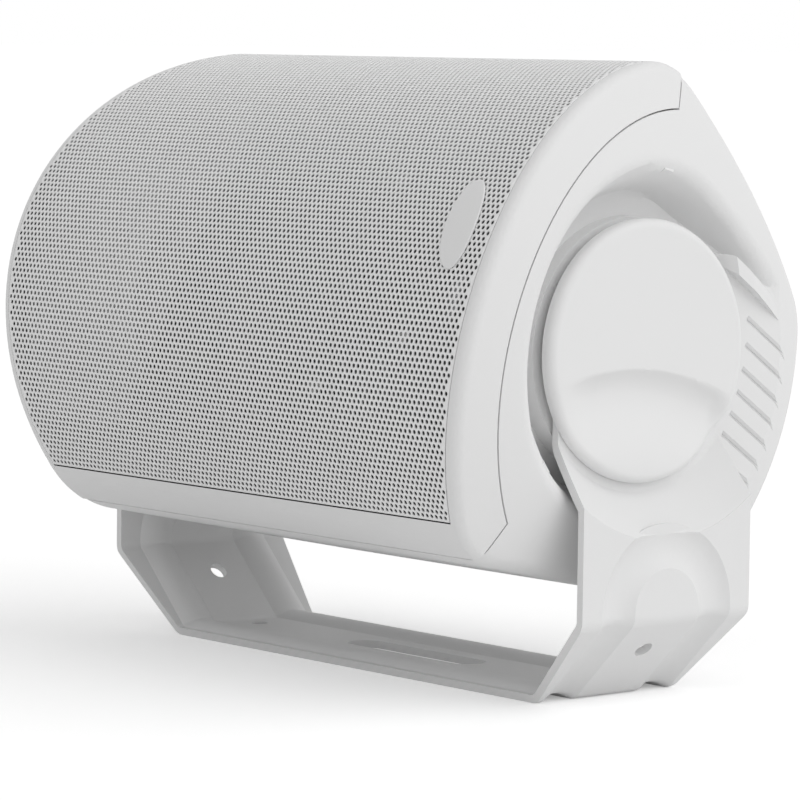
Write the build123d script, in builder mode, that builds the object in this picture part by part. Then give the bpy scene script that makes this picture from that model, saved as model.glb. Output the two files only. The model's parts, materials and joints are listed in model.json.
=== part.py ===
from build123d import *
from math import asin, cos, degrees, radians, sin, sqrt, tan
import os

os.makedirs("parts", exist_ok=True)

# Clearances
seam_gap = 0.6
seat_gap = 0.2
fit_gap = 0.3
running_gap = 0.05

# Cabinet placing
pivot_height = 127.0
rest_tilt = 28.75

# Cabinet cross section
wall = 3.5
front_radius = 111.0
front_centre = 15.0
flank_half_height = 90.2
flank_taper = 17.2
rear_radius = 110.0
front_corner = 33.0
rear_corner = 28.0
bezel_round = 4.5
shell_round = 9.0

# Cabinet ends
end_reach = 143.0
end_plan_radius = 350.0
end_plan_back = -70.0
end_crown_radius = 236.0

# Seam between bezel and rear shell
seam_back = -30.0
seam_radius = 94.0

# Grille and badge
grille_half_height = 91.4
grille_rim = 4.9
grille_thickness = 1.2
grille_seat = 1.3
slot_rows = 51
slot_pitch = 4.22
slot_height = 1.4
slot_border = 3.0
slot_web = 3.0
ledge_ends = 7.0
ledge_sides = 15.0
badge_length = 40.0
badge_width = 13.0
badge_thickness = 1.0
badge_inset = 22.5
badge_lean = 16.0

# End recess: moat, boss, tongue with rails and grooves
moat_floor = 109.0
moat_radius = 54.0
moat_slope = 26.0
boss_radius = 48.0
tongue_half_width = 51.0
tongue_start = 20.0
rail_width = 4.7
rail_height = 4.5
field_at_pivot = 124.2
field_slope = 12.4
groove_count = 10
groove_pitch = 8.33
groove_width = 1.3
groove_depth = 1.3
groove_start = 63.0
rim_round = 6.0
plateau_round = 5.0

# Bracket
sheet = 3.0
arm_inner = 119.0
arm_outer_x = 138.4
arm_round = 44.0
arm_neck_half = 39.0
arm_half = 41.0
base_half = 33.3
dish_radius = 50.5
dish_slope = 45.0
knee_height = 31.0
base_corner_x = 107.0
bend_radius = 7.0
bead_inner = 15.5
bead_crest = 22.3
bead_outer = 31.5
bead_rise = 2.6
arch_height = 34.5
slot_length = 74.0
slot_width = 14.0
base_hole_radius = 3.2
base_hole_x = 97.0
incline_hole_radius = 3.6
incline_hole_share = 0.62

# Clamp knob, stud, insert and washer
knob_radius = 47.6
knob_thickness = 5.0
knob_round = 3.4
knob_turn = -5.0
scoop_radius = 106.0
scoop_drop = 6.7
scoop_depth = 3.4
scoop_run = 27.0
hub_radius = 13.0
stud_radius = 4.0
stud_length = 15.0
insert_radius = 7.0
insert_length = 11.0
washer_thickness = 1.0

# Baffle and its fixings
baffle_front = 37.0
baffle_thickness = 5.5
baffle_half_length = 104.0
baffle_half_height = 85.0
baffle_corner = 12.0
gasket_thickness = 1.5
flange_thickness = 5.0
flange_half_length = 96.0
flange_half_height = 77.0
screw_boss_radius = 4.5
screw_boss_depth = 9.0
case_screw_x = 92.0
case_screw_up = 81.0
case_screw_radius = 1.7
case_screw_head = 3.2
case_head_height = 2.5
case_screw_length = 20.0
baffle_screw_x = 100.0
baffle_screw_up = 48.0

# Woofer, lengths forward of the baffle face
woofer_x = -37.0
woofer_radius = 66.0
woofer_hole = 58.5
frame_thickness = 1.5
rim_inner = 50.0
rim_land = 6.0
window_count = 6
window_length = 30.0
window_width = 13.0
landing_depth = 20.0
basket_depth = 33.5
basket_foot = 38.0
cone_radius = 42.3
cone_neck_depth = 14.0
cone_thickness = 0.8
cone_land = 3.0
cap_radius = 17.0
cap_height = 6.2
coil_radius = 13.2
coil_wall = 0.7
coil_length = 29.0
roll_thickness = 0.7
spider_skin = 0.5
wave_height = 1.6
wave_radii = (18.0, 22.0, 26.0, 30.0, 34.0)
plate_radius = 32.0
plate_thickness = 5.0
magnet_radius = 40.0
magnet_bore = 18.0
magnet_thickness = 13.5
magnet_round = 1.5
pole_radius = 12.0
woofer_screw_circle = 61.5

# Tweeter
tweeter_x = 66.5
tweeter_radius = 36.0
tweeter_thickness = 3.0
tweeter_mouth = 17.0
dome_radius = 12.7
dome_height = 5.0
dome_skin = 0.4
motor_radius = 22.0
motor_depth = 24.0
motor_gap_inner = 12.0
motor_gap_outer = 13.4
motor_gap_depth = 12.0
tweeter_screw_circle = 30.5

# Driver screws
driver_screw_radius = 1.6
driver_screw_head = 3.0
driver_head_height = 2.2
driver_screw_length = 10.0

# Crossover
board_share = 0.4545
board_half_length = 29.0
board_half_height = 20.0
board_back = 79.6
board_thickness = 1.6
rib_x = 23.0
rib_width = 6.0
rib_half_height = 17.0
board_screw_up = 13.0
board_screw_radius = 1.2
board_screw_length = 8.0
inductor_radius = 9.5
inductor_bore = 4.0
inductor_height = 14.0
inductor_left = 11.0
capacitor_radius = 5.5
capacitor_half_length = 9.5
capacitor_gap = 0.5
resistor_length = 20.0
resistor_side = 6.0
resistor_left = 4.0
resistor_up = -15.5

# Terminal cup and binding posts
pocket_back = 104.0
cup_half_length = 33.0
cup_half_height = 26.0
cup_corner = 6.0
cup_flange = 2.5
cup_body_half_length = 25.0
cup_body_half_height = 19.0
cup_body_corner = 4.0
cup_screw_inset = 4.0
cup_wall = 2.0
cup_depth = 20.0
pad_thickness = 5.0
post_spacing = 19.0
post_radius = 3.0
post_length = 15.0
post_collar = 5.5
collar_height = 3.0
post_tail = 6.0
socket_radius = 2.0
socket_depth = 12.0
nut_radius = 6.2
nut_length = 13.0
nut_flutes = 12
flute_radius = 1.0

# Directions and planes of the tilted cabinet
reach = 170.0
back = Vector(0, cos(radians(rest_tilt)), -sin(radians(rest_tilt)))
up = Vector(0, sin(radians(rest_tilt)), cos(radians(rest_tilt)))
across = Vector(1, 0, 0)
pivot = Vector(0, 0, pivot_height)
section = Plane(origin=pivot, x_dir=back, z_dir=across)
face = Plane(origin=pivot, x_dir=across, z_dir=back * -1)
rear = Plane(origin=pivot, x_dir=across, z_dir=back)
plan = Plane(origin=pivot, x_dir=across, z_dir=up)
turn = Plane(origin=pivot, x_dir=up, z_dir=back)
turn_axis = Axis(pivot, across)


def driver_plane(x):
    """The plane through a driver's axis: local x is the radius, local y runs forward of the baffle face."""
    return Plane(origin=pivot + across * x - back * baffle_front, x_dir=across, z_dir=up * -1)


def driver_axis(x):
    """The axis that a driver is turned about."""
    return Axis(pivot + across * x, back * -1)


def between_ends(inset):
    """The space between the two crowned ends, drawn in by inset."""
    crown = end_crown_radius - inset
    half = 0.55 * end_crown_radius
    edge = sqrt(crown**2 - half**2) - crown
    hub_x = end_reach - end_plan_radius
    with BuildPart() as space:
        with BuildSketch(Plane(face.origin - back * -end_plan_back, x_dir=across, z_dir=face.z_dir)):
            with BuildLine():
                Polyline((end_reach - inset + edge, -half), (hub_x, -half), (hub_x, half),
                         (end_reach - inset + edge, half))
                ThreePointArc((end_reach - inset + edge, half), (end_reach - inset, 0),
                              (end_reach - inset + edge, -half))
            make_face()
        revolve(axis=Axis(pivot + across * hub_x + back * end_plan_back, up))
        add(mirror(space.part, about=Plane.YZ, mode=Mode.PRIVATE), mode=Mode.INTERSECT)
    return space.part


def flank_meets(centre, radius, height, sign):
    """Where a flank line meets an arc of the cross section."""
    slope = tan(radians(flank_taper))
    k = 1 + slope**2
    m = centre + height * slope
    x = (m + sign * sqrt(m**2 - k * (centre**2 + height**2 - radius**2))) / k
    return (x, height - slope * x)


def cabinet_form(inset, edge_round):
    """The cabinet's outer form, or that form drawn in by a wall."""
    height = flank_half_height - inset / cos(radians(flank_taper))
    fx, fy = flank_meets(front_centre, front_radius - inset, height, -1)
    rx, ry = flank_meets(0, rear_radius - inset, height, 1)
    with BuildPart() as form:
        with BuildSketch(section) as outline:
            with BuildLine():
                ThreePointArc((fx, fy), (front_centre - front_radius + inset, 0), (fx, -fy))
                Line((fx, -fy), (rx, -ry))
                ThreePointArc((rx, -ry), (rear_radius - inset, 0), (rx, ry))
                Line((rx, ry), (fx, fy))
            make_face()
            fillet(outline.vertices().group_by(Axis.X)[0], front_corner - inset)
            fillet(outline.vertices().filter_by_position(Axis.X, rx - 1, rx + 1), rear_corner - inset)
        extrude(amount=reach, both=True)
        add(between_ends(inset), mode=Mode.INTERSECT)
        if edge_round:
            ends = form.faces().sort_by(Axis.X)
            fillet(ends[0].edges() + ends[-1].edges(), edge_round)
    return form.part


def front_zone(gap):
    """All that lies in front of the seam, grown by gap."""
    with BuildPart() as zone:
        with BuildSketch(section):
            with Locations((seam_back + gap - reach / 2, 0)):
                Rectangle(reach, 2 * reach)
            with Locations((front_centre, 0)):
                Circle(seam_radius - gap, mode=Mode.SUBTRACT)
        extrude(amount=reach, both=True)
    return zone.part


def keyhole(grow):
    """The right end's recess with sloping sides, out from its floor."""
    with BuildPart() as hole:
        with BuildSketch(section.offset(moat_floor - grow)):
            Circle(moat_radius + grow)
            with Locations((reach / 2, 0)):
                Rectangle(reach, 2 * (moat_radius + grow))
        extrude(amount=reach - moat_floor + grow, taper=-moat_slope)
    return hole.part


def above_slope(half_height, drop):
    """All that lies outside a plane parallel to the right tongue's sloping field."""
    low = field_at_pivot - drop
    with BuildPart() as block:
        with BuildSketch(plan):
            with BuildLine():
                Polyline((low, 0), (low - reach * tan(radians(field_slope)), reach), (reach, reach),
                         (reach, 0), close=True)
            make_face()
        extrude(amount=half_height, both=True)
    return block.part


def domed_cap(plane, axis, radius, height, skin, level):
    """A thin domed cap that stands on a level above a driver's face."""
    ball = (radius**2 + height**2) / (2 * height)
    inner = ball - skin
    centre = level + height - ball
    foot = sqrt(inner**2 - (ball - height)**2)
    with BuildPart() as cap:
        with BuildSketch(plane):
            with BuildLine():
                Line((0, level + height - skin), (0, level + height))
                ThreePointArc((0, level + height), (radius / 2, centre + sqrt(ball**2 - radius**2 / 4)),
                              (radius, level))
                Line((radius, level), (foot, level))
                ThreePointArc((foot, level), (foot / 2, centre + sqrt(inner**2 - foot**2 / 4)),
                              (0, level + height - skin))
            make_face()
        revolve(axis=axis)
    return cap.part


def is_rim(edge):
    """Whether an edge is part of the outer rim of an end's recess."""
    middle = edge.position_at(0.5)
    off_axis = sqrt((middle.Y - pivot.Y) ** 2 + (middle.Z - pivot.Z) ** 2)
    outside = abs(middle.X) > moat_floor + rim_round
    return outside and edge.length > moat_radius and off_axis < 1.4 * moat_radius


boss_top = arm_inner - fit_gap - washer_thickness
arm_outer = arm_inner + sheet
knob_under = arm_outer + fit_gap
dish_step = arm_outer_x - arm_outer
dish_run = dish_step / tan(radians(dish_slope))

# Recess of the right end
with BuildPart() as plateau:
    with BuildSketch(section.offset(moat_floor - 1)):
        Circle(boss_radius)
        with Locations((tongue_start + reach / 2, 0)):
            RectangleRounded(reach, 2 * tongue_half_width, plateau_round)
    extrude(amount=reach - moat_floor)

with BuildPart() as field_cut:
    add(above_slope(tongue_half_width - rail_width, 0))
    with BuildSketch(section):
        Circle(boss_radius)
    extrude(amount=reach, mode=Mode.SUBTRACT)

with BuildPart() as groove_cut:
    add(above_slope(groove_pitch * (groove_count - 1) / 2 + groove_width / 2, groove_depth))
    with BuildSketch(section):
        with GridLocations(0, groove_pitch, 1, groove_count - 1):
            Rectangle(2 * reach, groove_pitch - groove_width)
    extrude(amount=reach, mode=Mode.SUBTRACT)
    with BuildSketch(section):
        Circle(groove_start)
    extrude(amount=reach, mode=Mode.SUBTRACT)

with BuildPart() as end_recess:
    add(keyhole(0))
    add(plateau.part, mode=Mode.SUBTRACT)
    with BuildSketch(turn):
        with BuildLine():
            Polyline((0, boss_top), (dish_radius + 1, boss_top),
                     (dish_radius + 1 + dish_run, boss_top + dish_step),
                     (dish_radius + 1 + dish_run, reach), (0, reach), close=True)
        make_face()
    revolve(axis=turn_axis)
    add(above_slope(tongue_half_width + 1, -rail_height))
    add(field_cut.part)
    add(groove_cut.part)

# Hollow of the cabinet
with BuildPart() as recess_wall:
    add(keyhole(wall))
    add(above_slope(tongue_half_width + wall, wall + groove_depth))

with BuildPart() as cavity:
    add(cabinet_form(wall, 0))
    add(recess_wall.part, mode=Mode.SUBTRACT)
    add(mirror(recess_wall.part, about=Plane.YZ, mode=Mode.PRIVATE), mode=Mode.SUBTRACT)

case_points = [(sx * case_screw_x, sy * case_screw_up) for sx in (-1, 0, 1) for sy in (-1, 1)]
baffle_points = [(sx * baffle_screw_x, sy * baffle_screw_up) for sx in (-1, 1) for sy in (-1, 1)]
quarters = [radians(angle) for angle in (45, 135, 225, 315)]
woofer_points = [(woofer_x + woofer_screw_circle * cos(q), woofer_screw_circle * sin(q)) for q in quarters]
tweeter_points = [(tweeter_x + tweeter_screw_circle * cos(q), tweeter_screw_circle * sin(q))
                  for q in quarters]
board_x = board_share * end_reach
board_points = [(board_x + sx * rib_x, sy * board_screw_up) for sx in (-1, 1) for sy in (-1, 1)]
cup_points = [(sx * (cup_half_length - cup_screw_inset), sy * (cup_half_height - cup_screw_inset))
              for sx in (-1, 1) for sy in (-1, 1)]
baffle_back = baffle_front - baffle_thickness
flange_front = baffle_back - gasket_thickness

# Rear shell
with BuildPart() as shell_ribs:
    with BuildSketch(face.offset(flange_front)):
        Rectangle(2 * reach, 2 * reach)
        RectangleRounded(2 * flange_half_length, 2 * flange_half_height, baffle_corner, mode=Mode.SUBTRACT)
    extrude(amount=-flange_thickness)
    with BuildSketch(face.offset(flange_front)):
        with Locations(*case_points, *baffle_points):
            Circle(screw_boss_radius)
    extrude(amount=-flange_thickness - screw_boss_depth)
    with BuildSketch(rear.offset(board_back)):
        with Locations((board_x - rib_x, 0), (board_x + rib_x, 0)):
            Rectangle(rib_width, 2 * rib_half_height)
    extrude(amount=rear_radius - board_back)
    with BuildSketch(rear.offset(pocket_back - pad_thickness)):
        Rectangle(2 * (cup_half_length + wall), 2 * (cup_half_height + wall))
    extrude(amount=rear_radius - pocket_back + pad_thickness)
    add(cabinet_form(wall / 2, 0), mode=Mode.INTERSECT)
    add(front_zone(seam_gap), mode=Mode.SUBTRACT)
    add(end_recess.part, mode=Mode.SUBTRACT)
    add(mirror(end_recess.part, about=Plane.YZ, mode=Mode.PRIVATE), mode=Mode.SUBTRACT)

with BuildPart() as end_fill:
    add(plateau.part)
    add(cabinet_form(0, shell_round), mode=Mode.INTERSECT)

with BuildPart() as rear_shell:
    add(cabinet_form(0, shell_round))
    add(keyhole(0), mode=Mode.SUBTRACT)
    add(mirror(keyhole(0), about=Plane.YZ, mode=Mode.PRIVATE), mode=Mode.SUBTRACT)
    fillet([edge for edge in rear_shell.edges() if is_rim(edge)], rim_round)
    add(end_fill.part)
    add(mirror(end_fill.part, about=Plane.YZ, mode=Mode.PRIVATE))
    add(cavity.part, mode=Mode.SUBTRACT)
    add(end_recess.part, mode=Mode.SUBTRACT)
    add(mirror(end_recess.part, about=Plane.YZ, mode=Mode.PRIVATE), mode=Mode.SUBTRACT)
    add(front_zone(seam_gap), mode=Mode.SUBTRACT)
    add(shell_ribs.part)
    with BuildSketch(face.offset(flange_front)):
        with Locations(*case_points, *baffle_points):
            Circle(case_screw_radius)
    extrude(amount=-flange_thickness - screw_boss_depth + 2, mode=Mode.SUBTRACT)
    with BuildSketch(rear.offset(board_back)):
        with Locations(*board_points):
            Circle(board_screw_radius)
    extrude(amount=board_screw_length + seat_gap, mode=Mode.SUBTRACT)
    with BuildSketch(rear.offset(pocket_back)):
        RectangleRounded(2 * (cup_half_length + fit_gap), 2 * (cup_half_height + fit_gap),
                         cup_corner + fit_gap)
    extrude(amount=reach - pocket_back, mode=Mode.SUBTRACT)
    with BuildSketch(rear.offset(pocket_back)):
        RectangleRounded(2 * (cup_body_half_length + fit_gap), 2 * (cup_body_half_height + fit_gap),
                         cup_body_corner + fit_gap)
    extrude(amount=-pad_thickness, mode=Mode.SUBTRACT)
    with BuildSketch(rear.offset(pocket_back)):
        with Locations(*cup_points):
            Circle(board_screw_radius)
    extrude(amount=-pad_thickness + 1, mode=Mode.SUBTRACT)
    for side in (1, -1):
        with BuildSketch(Plane(pivot + across * side * boss_top, x_dir=back, z_dir=across * -side)):
            Circle(insert_radius)
        extrude(amount=insert_length + seat_gap, mode=Mode.SUBTRACT)
rear_shell.part.label = "rear_shell"
export_step(rear_shell.part, "parts/rear_shell.step")

# Front bezel
with BuildPart() as grille_outline:
    with BuildSketch(section):
        with Locations((-reach / 2, 0)):
            Rectangle(reach, 2 * (grille_half_height + fit_gap))
        with Locations((front_centre, 0)):
            Circle(front_radius - grille_seat, mode=Mode.SUBTRACT)
    extrude(amount=reach, both=True)
    add(between_ends(grille_rim - fit_gap), mode=Mode.INTERSECT)

with BuildPart() as bezel_window:
    with BuildSketch(section):
        with Locations((-reach / 2 - baffle_front, 0)):
            Rectangle(reach, 2 * (grille_half_height - ledge_sides))
    extrude(amount=reach, both=True)
    add(between_ends(grille_rim + ledge_ends), mode=Mode.INTERSECT)

with BuildPart() as bezel_pillars:
    with BuildSketch(face.offset(baffle_front)):
        with Locations(*case_points):
            Circle(screw_boss_radius + seam_gap)
    extrude(amount=reach)
    add(cabinet_form(wall / 2, 0), mode=Mode.INTERSECT)

with BuildPart() as front_bezel:
    add(cabinet_form(0, bezel_round))
    add(cabinet_form(wall, 0), mode=Mode.SUBTRACT)
    add(front_zone(0), mode=Mode.INTERSECT)
    add(bezel_window.part, mode=Mode.SUBTRACT)
    add(bezel_pillars.part)
    add(grille_outline.part, mode=Mode.SUBTRACT)
    with BuildSketch(face.offset(baffle_front)):
        with Locations(*case_points):
            Circle(case_screw_radius)
    extrude(amount=reach, mode=Mode.SUBTRACT)
    with BuildSketch(face.offset(baffle_front + wall)):
        with Locations(*case_points):
            Circle(case_screw_head + fit_gap)
    extrude(amount=reach, mode=Mode.SUBTRACT)
front_bezel.part.label = "front_bezel"
export_step(front_bezel.part, "parts/front_bezel.step")

# Grille, each slot standing for a row of fine holes
grille_inner_radius = front_radius - grille_seat + seat_gap
with BuildPart() as grille_slots:
    with BuildSketch(section):
        for row in range(slot_rows):
            angle = degrees((row - (slot_rows - 1) / 2) * slot_pitch / front_radius)
            with Locations(Location((front_centre, 0), 180 - angle)):
                with Locations((front_radius, 0)):
                    Rectangle(4 * grille_seat, slot_height)
    extrude(amount=reach, both=True)
    add(between_ends(grille_rim + slot_border), mode=Mode.INTERSECT)
    with BuildSketch(face):
        with GridLocations(end_reach, 0, 3, 1):
            Rectangle(slot_web, 2 * reach)
    extrude(amount=reach, mode=Mode.SUBTRACT)

with BuildPart() as grille:
    with BuildSketch(section):
        with Locations((front_centre, 0)):
            Circle(grille_inner_radius + grille_thickness)
            Circle(grille_inner_radius, mode=Mode.SUBTRACT)
        with Locations((front_centre - reach, 0)):
            Rectangle(2 * reach, 2 * grille_half_height, mode=Mode.INTERSECT)
    extrude(amount=reach, both=True)
    add(between_ends(grille_rim), mode=Mode.INTERSECT)
    add(grille_slots.part, mode=Mode.SUBTRACT)
grille.part.label = "grille"
export_step(grille.part, "parts/grille.step")

# Badge
with BuildPart() as badge:
    with BuildSketch(face):
        with Locations((end_reach - badge_inset, 0)):
            Ellipse(badge_width / 2, badge_length / 2, rotation=badge_lean)
    extrude(amount=reach)
    with BuildSketch(section):
        with Locations((front_centre, 0)):
            Circle(grille_inner_radius + grille_thickness + badge_thickness)
            Circle(grille_inner_radius + grille_thickness, mode=Mode.SUBTRACT)
    extrude(amount=reach, both=True, mode=Mode.INTERSECT)
badge.part.label = "badge"
export_step(badge.part, "parts/badge.step")

# Bracket
strap = [(-arm_outer_x, knee_height), (-base_corner_x, 0), (base_corner_x, 0), (arm_outer_x, knee_height)]


def bead_ridge(plane, level, side):
    """The bead's cross section on one side of the strap, raised above a level."""
    with BuildSketch(plane, mode=Mode.PRIVATE) as ridge:
        with BuildLine():
            Polyline((side * bead_outer, level), (side * bead_outer, level - 1),
                     (side * bead_inner, level - 1), (side * bead_inner, level))
            ThreePointArc((side * bead_inner, level), (side * bead_crest, level + bead_rise),
                          (side * bead_outer, level))
        make_face()
    return ridge.sketch


def beads(level):
    """The looped bead of the strap, raised inward from a level above its outer face."""
    with BuildPart() as loop:
        with BuildLine(Plane.XZ) as run:
            FilletPolyline(
                (-arm_outer_x, arch_height), *strap, (arm_outer_x, arch_height), radius=bend_radius)
        across_strap = Plane(run.line @ 0, x_dir=(0, 1, 0), z_dir=run.line % 0)
        sweep(bead_ridge(across_strap, level, 1), path=run.line)
        sweep(bead_ridge(across_strap, level, -1), path=run.line)
        for side in (1, -1):
            arm_top = Plane((side * arm_outer_x, 0, arch_height), x_dir=(0, side, 0), z_dir=(0, 0, 1))
            revolve(bead_ridge(arm_top, level, 1), axis=Axis((0, 0, arch_height), (1, 0, 0)),
                    revolution_arc=side * 180)
    return loop.part


with BuildPart() as bracket:
    with BuildSketch(Plane.XZ) as u_profile:
        with BuildLine():
            FilletPolyline(
                (-arm_outer_x, pivot_height), *strap, (arm_outer_x, pivot_height), radius=bend_radius)
            offset(amount=sheet, side=Side.LEFT)
        make_face()
    extrude(amount=2 * arm_half, both=True)
    with BuildSketch(Plane.YZ):
        with Locations((0, pivot_height)):
            Circle(dish_radius + dish_run)
    extrude(amount=reach, both=True, mode=Mode.SUBTRACT)
    with BuildSketch(Plane(origin=pivot, x_dir=(0, 0, 1), z_dir=(0, 1, 0))):
        with BuildLine():
            FilletPolyline(
                (hub_radius + fit_gap, arm_outer), (dish_radius, arm_outer),
                (dish_radius + dish_run, arm_outer_x), (dish_radius + dish_run + 2 * sheet, arm_outer_x),
                radius=sheet)
            offset(amount=sheet, side=Side.RIGHT)
        make_face()
    revolve(axis=turn_axis)
    mirror(about=Plane.YZ)
    add(beads(sheet))
    add(beads(0), mode=Mode.SUBTRACT)
    with BuildSketch(Plane.YZ):
        with Locations((0, pivot_height)):
            Circle(arm_round)
        with BuildLine():
            Polyline((-base_half, -1), (-arm_half, knee_height), (-arm_half, pivot_height - dish_radius),
                     (-arm_neck_half, pivot_height - 0.6 * dish_radius), (-arm_neck_half, pivot_height),
                     (arm_neck_half, pivot_height), (arm_neck_half, pivot_height - 0.6 * dish_radius),
                     (arm_half, pivot_height - dish_radius), (arm_half, knee_height), (base_half, -1),
                     close=True)
        make_face()
    extrude(amount=reach, both=True, mode=Mode.INTERSECT)
    with BuildSketch(Plane.XY):
        SlotOverall(slot_length, slot_width)
        with Locations((-base_hole_x, 0), (base_hole_x, 0)):
            Circle(base_hole_radius)
    extrude(amount=2 * sheet, mode=Mode.SUBTRACT)
    for side in (1, -1):
        hole_x = base_corner_x + incline_hole_share * (arm_outer_x - base_corner_x)
        with BuildSketch(Plane(origin=(side * hole_x, 0, incline_hole_share * knee_height), x_dir=(0, 1, 0),
                               z_dir=(side * knee_height, 0, base_corner_x - arm_outer_x))):
            Circle(incline_hole_radius)
        extrude(amount=3 * sheet, both=True, mode=Mode.SUBTRACT)
bracket.part.label = "bracket"
export_step(bracket.part, "parts/bracket.step")

# Clamp knob, stud, insert and washer of the right side
grip = Plane(pivot, x_dir=back.rotate(Axis.X, rest_tilt + knob_turn), z_dir=across)
knob_face = knob_under + knob_thickness
scoop_plane = grip.offset(knob_face - scoop_depth)
scoop_edge = scoop_plane.shift_origin(scoop_plane.from_local_coords(Vector(0, -scoop_drop, 0)))
with BuildPart() as scoop:
    with BuildSketch(scoop_plane):
        with Locations((0, -scoop_drop - scoop_radius)):
            Circle(scoop_radius)
        with Locations((0, -scoop_drop - reach / 2)):
            Rectangle(2 * knob_radius, reach, mode=Mode.INTERSECT)
    extrude(amount=2 * scoop_depth)
    split(bisect_by=scoop_edge.rotated((-degrees(asin(scoop_depth / scoop_run)), 0, 0)), keep=Keep.TOP)

with BuildPart() as knob_right:
    with BuildSketch(grip.offset(knob_under)):
        Circle(knob_radius)
    extrude(amount=knob_thickness)
    fillet(knob_right.faces().sort_by(Axis.X)[-1].edges(), knob_round)
    with BuildSketch(grip.offset(knob_under)):
        Circle(hub_radius)
    extrude(amount=boss_top + fit_gap - knob_under)
    add(scoop.part, mode=Mode.SUBTRACT)
    with BuildSketch(grip.offset(boss_top)):
        Circle(stud_radius)
    extrude(amount=knob_face - boss_top - scoop_depth, mode=Mode.SUBTRACT)
knob_right.part.label = "knob_right"
export_step(knob_right.part, "parts/knob_right.step")

with BuildPart() as stud_right:
    with BuildSketch(grip.offset(knob_face - scoop_depth)):
        Circle(stud_radius)
    extrude(amount=-stud_length)
stud_right.part.label = "stud_right"
export_step(stud_right.part, "parts/stud_right.step")

with BuildPart() as insert_right:
    with BuildSketch(section.offset(boss_top)):
        Circle(insert_radius)
        Circle(stud_radius + running_gap, mode=Mode.SUBTRACT)
    extrude(amount=-insert_length)
insert_right.part.label = "insert_right"
export_step(insert_right.part, "parts/insert_right.step")

with BuildPart() as washer_right:
    with BuildSketch(section.offset(boss_top)):
        Circle(arm_round - 2)
        Circle(hub_radius + 2, mode=Mode.SUBTRACT)
    extrude(amount=washer_thickness)
washer_right.part.label = "washer_right"
export_step(washer_right.part, "parts/washer_right.step")

# The same four pieces of the left side
with BuildPart() as knob_left:
    add(mirror(knob_right.part, about=Plane.YZ, mode=Mode.PRIVATE))
knob_left.part.label = "knob_left"
export_step(knob_left.part, "parts/knob_left.step")

with BuildPart() as stud_left:
    add(mirror(stud_right.part, about=Plane.YZ, mode=Mode.PRIVATE))
stud_left.part.label = "stud_left"
export_step(stud_left.part, "parts/stud_left.step")

with BuildPart() as insert_left:
    add(mirror(insert_right.part, about=Plane.YZ, mode=Mode.PRIVATE))
insert_left.part.label = "insert_left"
export_step(insert_left.part, "parts/insert_left.step")

with BuildPart() as washer_left:
    add(mirror(washer_right.part, about=Plane.YZ, mode=Mode.PRIVATE))
washer_left.part.label = "washer_left"
export_step(washer_left.part, "parts/washer_left.step")

# Baffle, gasket and screws
with BuildPart() as baffle:
    with BuildSketch(face.offset(baffle_front)):
        RectangleRounded(2 * baffle_half_length, 2 * baffle_half_height, baffle_corner)
        with Locations((woofer_x, 0)):
            Circle(woofer_hole, mode=Mode.SUBTRACT)
        with Locations((tweeter_x, 0)):
            Circle(motor_radius + fit_gap, mode=Mode.SUBTRACT)
        with Locations(*case_points, *baffle_points):
            Circle(case_screw_radius, mode=Mode.SUBTRACT)
        with Locations(*woofer_points, *tweeter_points):
            Circle(driver_screw_radius, mode=Mode.SUBTRACT)
    extrude(amount=-baffle_thickness)
baffle.part.label = "baffle"
export_step(baffle.part, "parts/baffle.step")

with BuildPart() as baffle_gasket:
    with BuildSketch(face.offset(baffle_back)):
        RectangleRounded(2 * baffle_half_length, 2 * baffle_half_height, baffle_corner)
        RectangleRounded(2 * flange_half_length, 2 * flange_half_height, baffle_corner, mode=Mode.SUBTRACT)
        with Locations(*case_points, *baffle_points):
            Circle(case_screw_radius, mode=Mode.SUBTRACT)
    extrude(amount=-gasket_thickness)
baffle_gasket.part.label = "baffle_gasket"
export_step(baffle_gasket.part, "parts/baffle_gasket.step")

with BuildPart() as case_screws:
    with BuildSketch(face.offset(baffle_front + wall)):
        with Locations(*case_points):
            Circle(case_screw_head)
    extrude(amount=case_head_height)
    with BuildSketch(face.offset(baffle_front + wall)):
        with Locations(*case_points):
            Circle(case_screw_radius)
    extrude(amount=-case_screw_length)
    with BuildSketch(face.offset(baffle_front + wall + case_head_height)):
        with Locations(*case_points):
            RegularPolygon(case_screw_radius, 6)
    extrude(amount=-case_screw_radius, mode=Mode.SUBTRACT)
case_screws.part.label = "case_screws"
export_step(case_screws.part, "parts/case_screws.step")

with BuildPart() as baffle_screws:
    with BuildSketch(face.offset(baffle_front)):
        with Locations(*baffle_points):
            Circle(case_screw_head)
    extrude(amount=case_head_height)
    with BuildSketch(face.offset(baffle_front)):
        with Locations(*baffle_points):
            Circle(case_screw_radius)
    extrude(amount=-case_screw_length + wall)
    with BuildSketch(face.offset(baffle_front + case_head_height)):
        with Locations(*baffle_points):
            RegularPolygon(case_screw_radius, 6)
    extrude(amount=-case_screw_radius, mode=Mode.SUBTRACT)
baffle_screws.part.label = "baffle_screws"
export_step(baffle_screws.part, "parts/baffle_screws.step")

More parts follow.
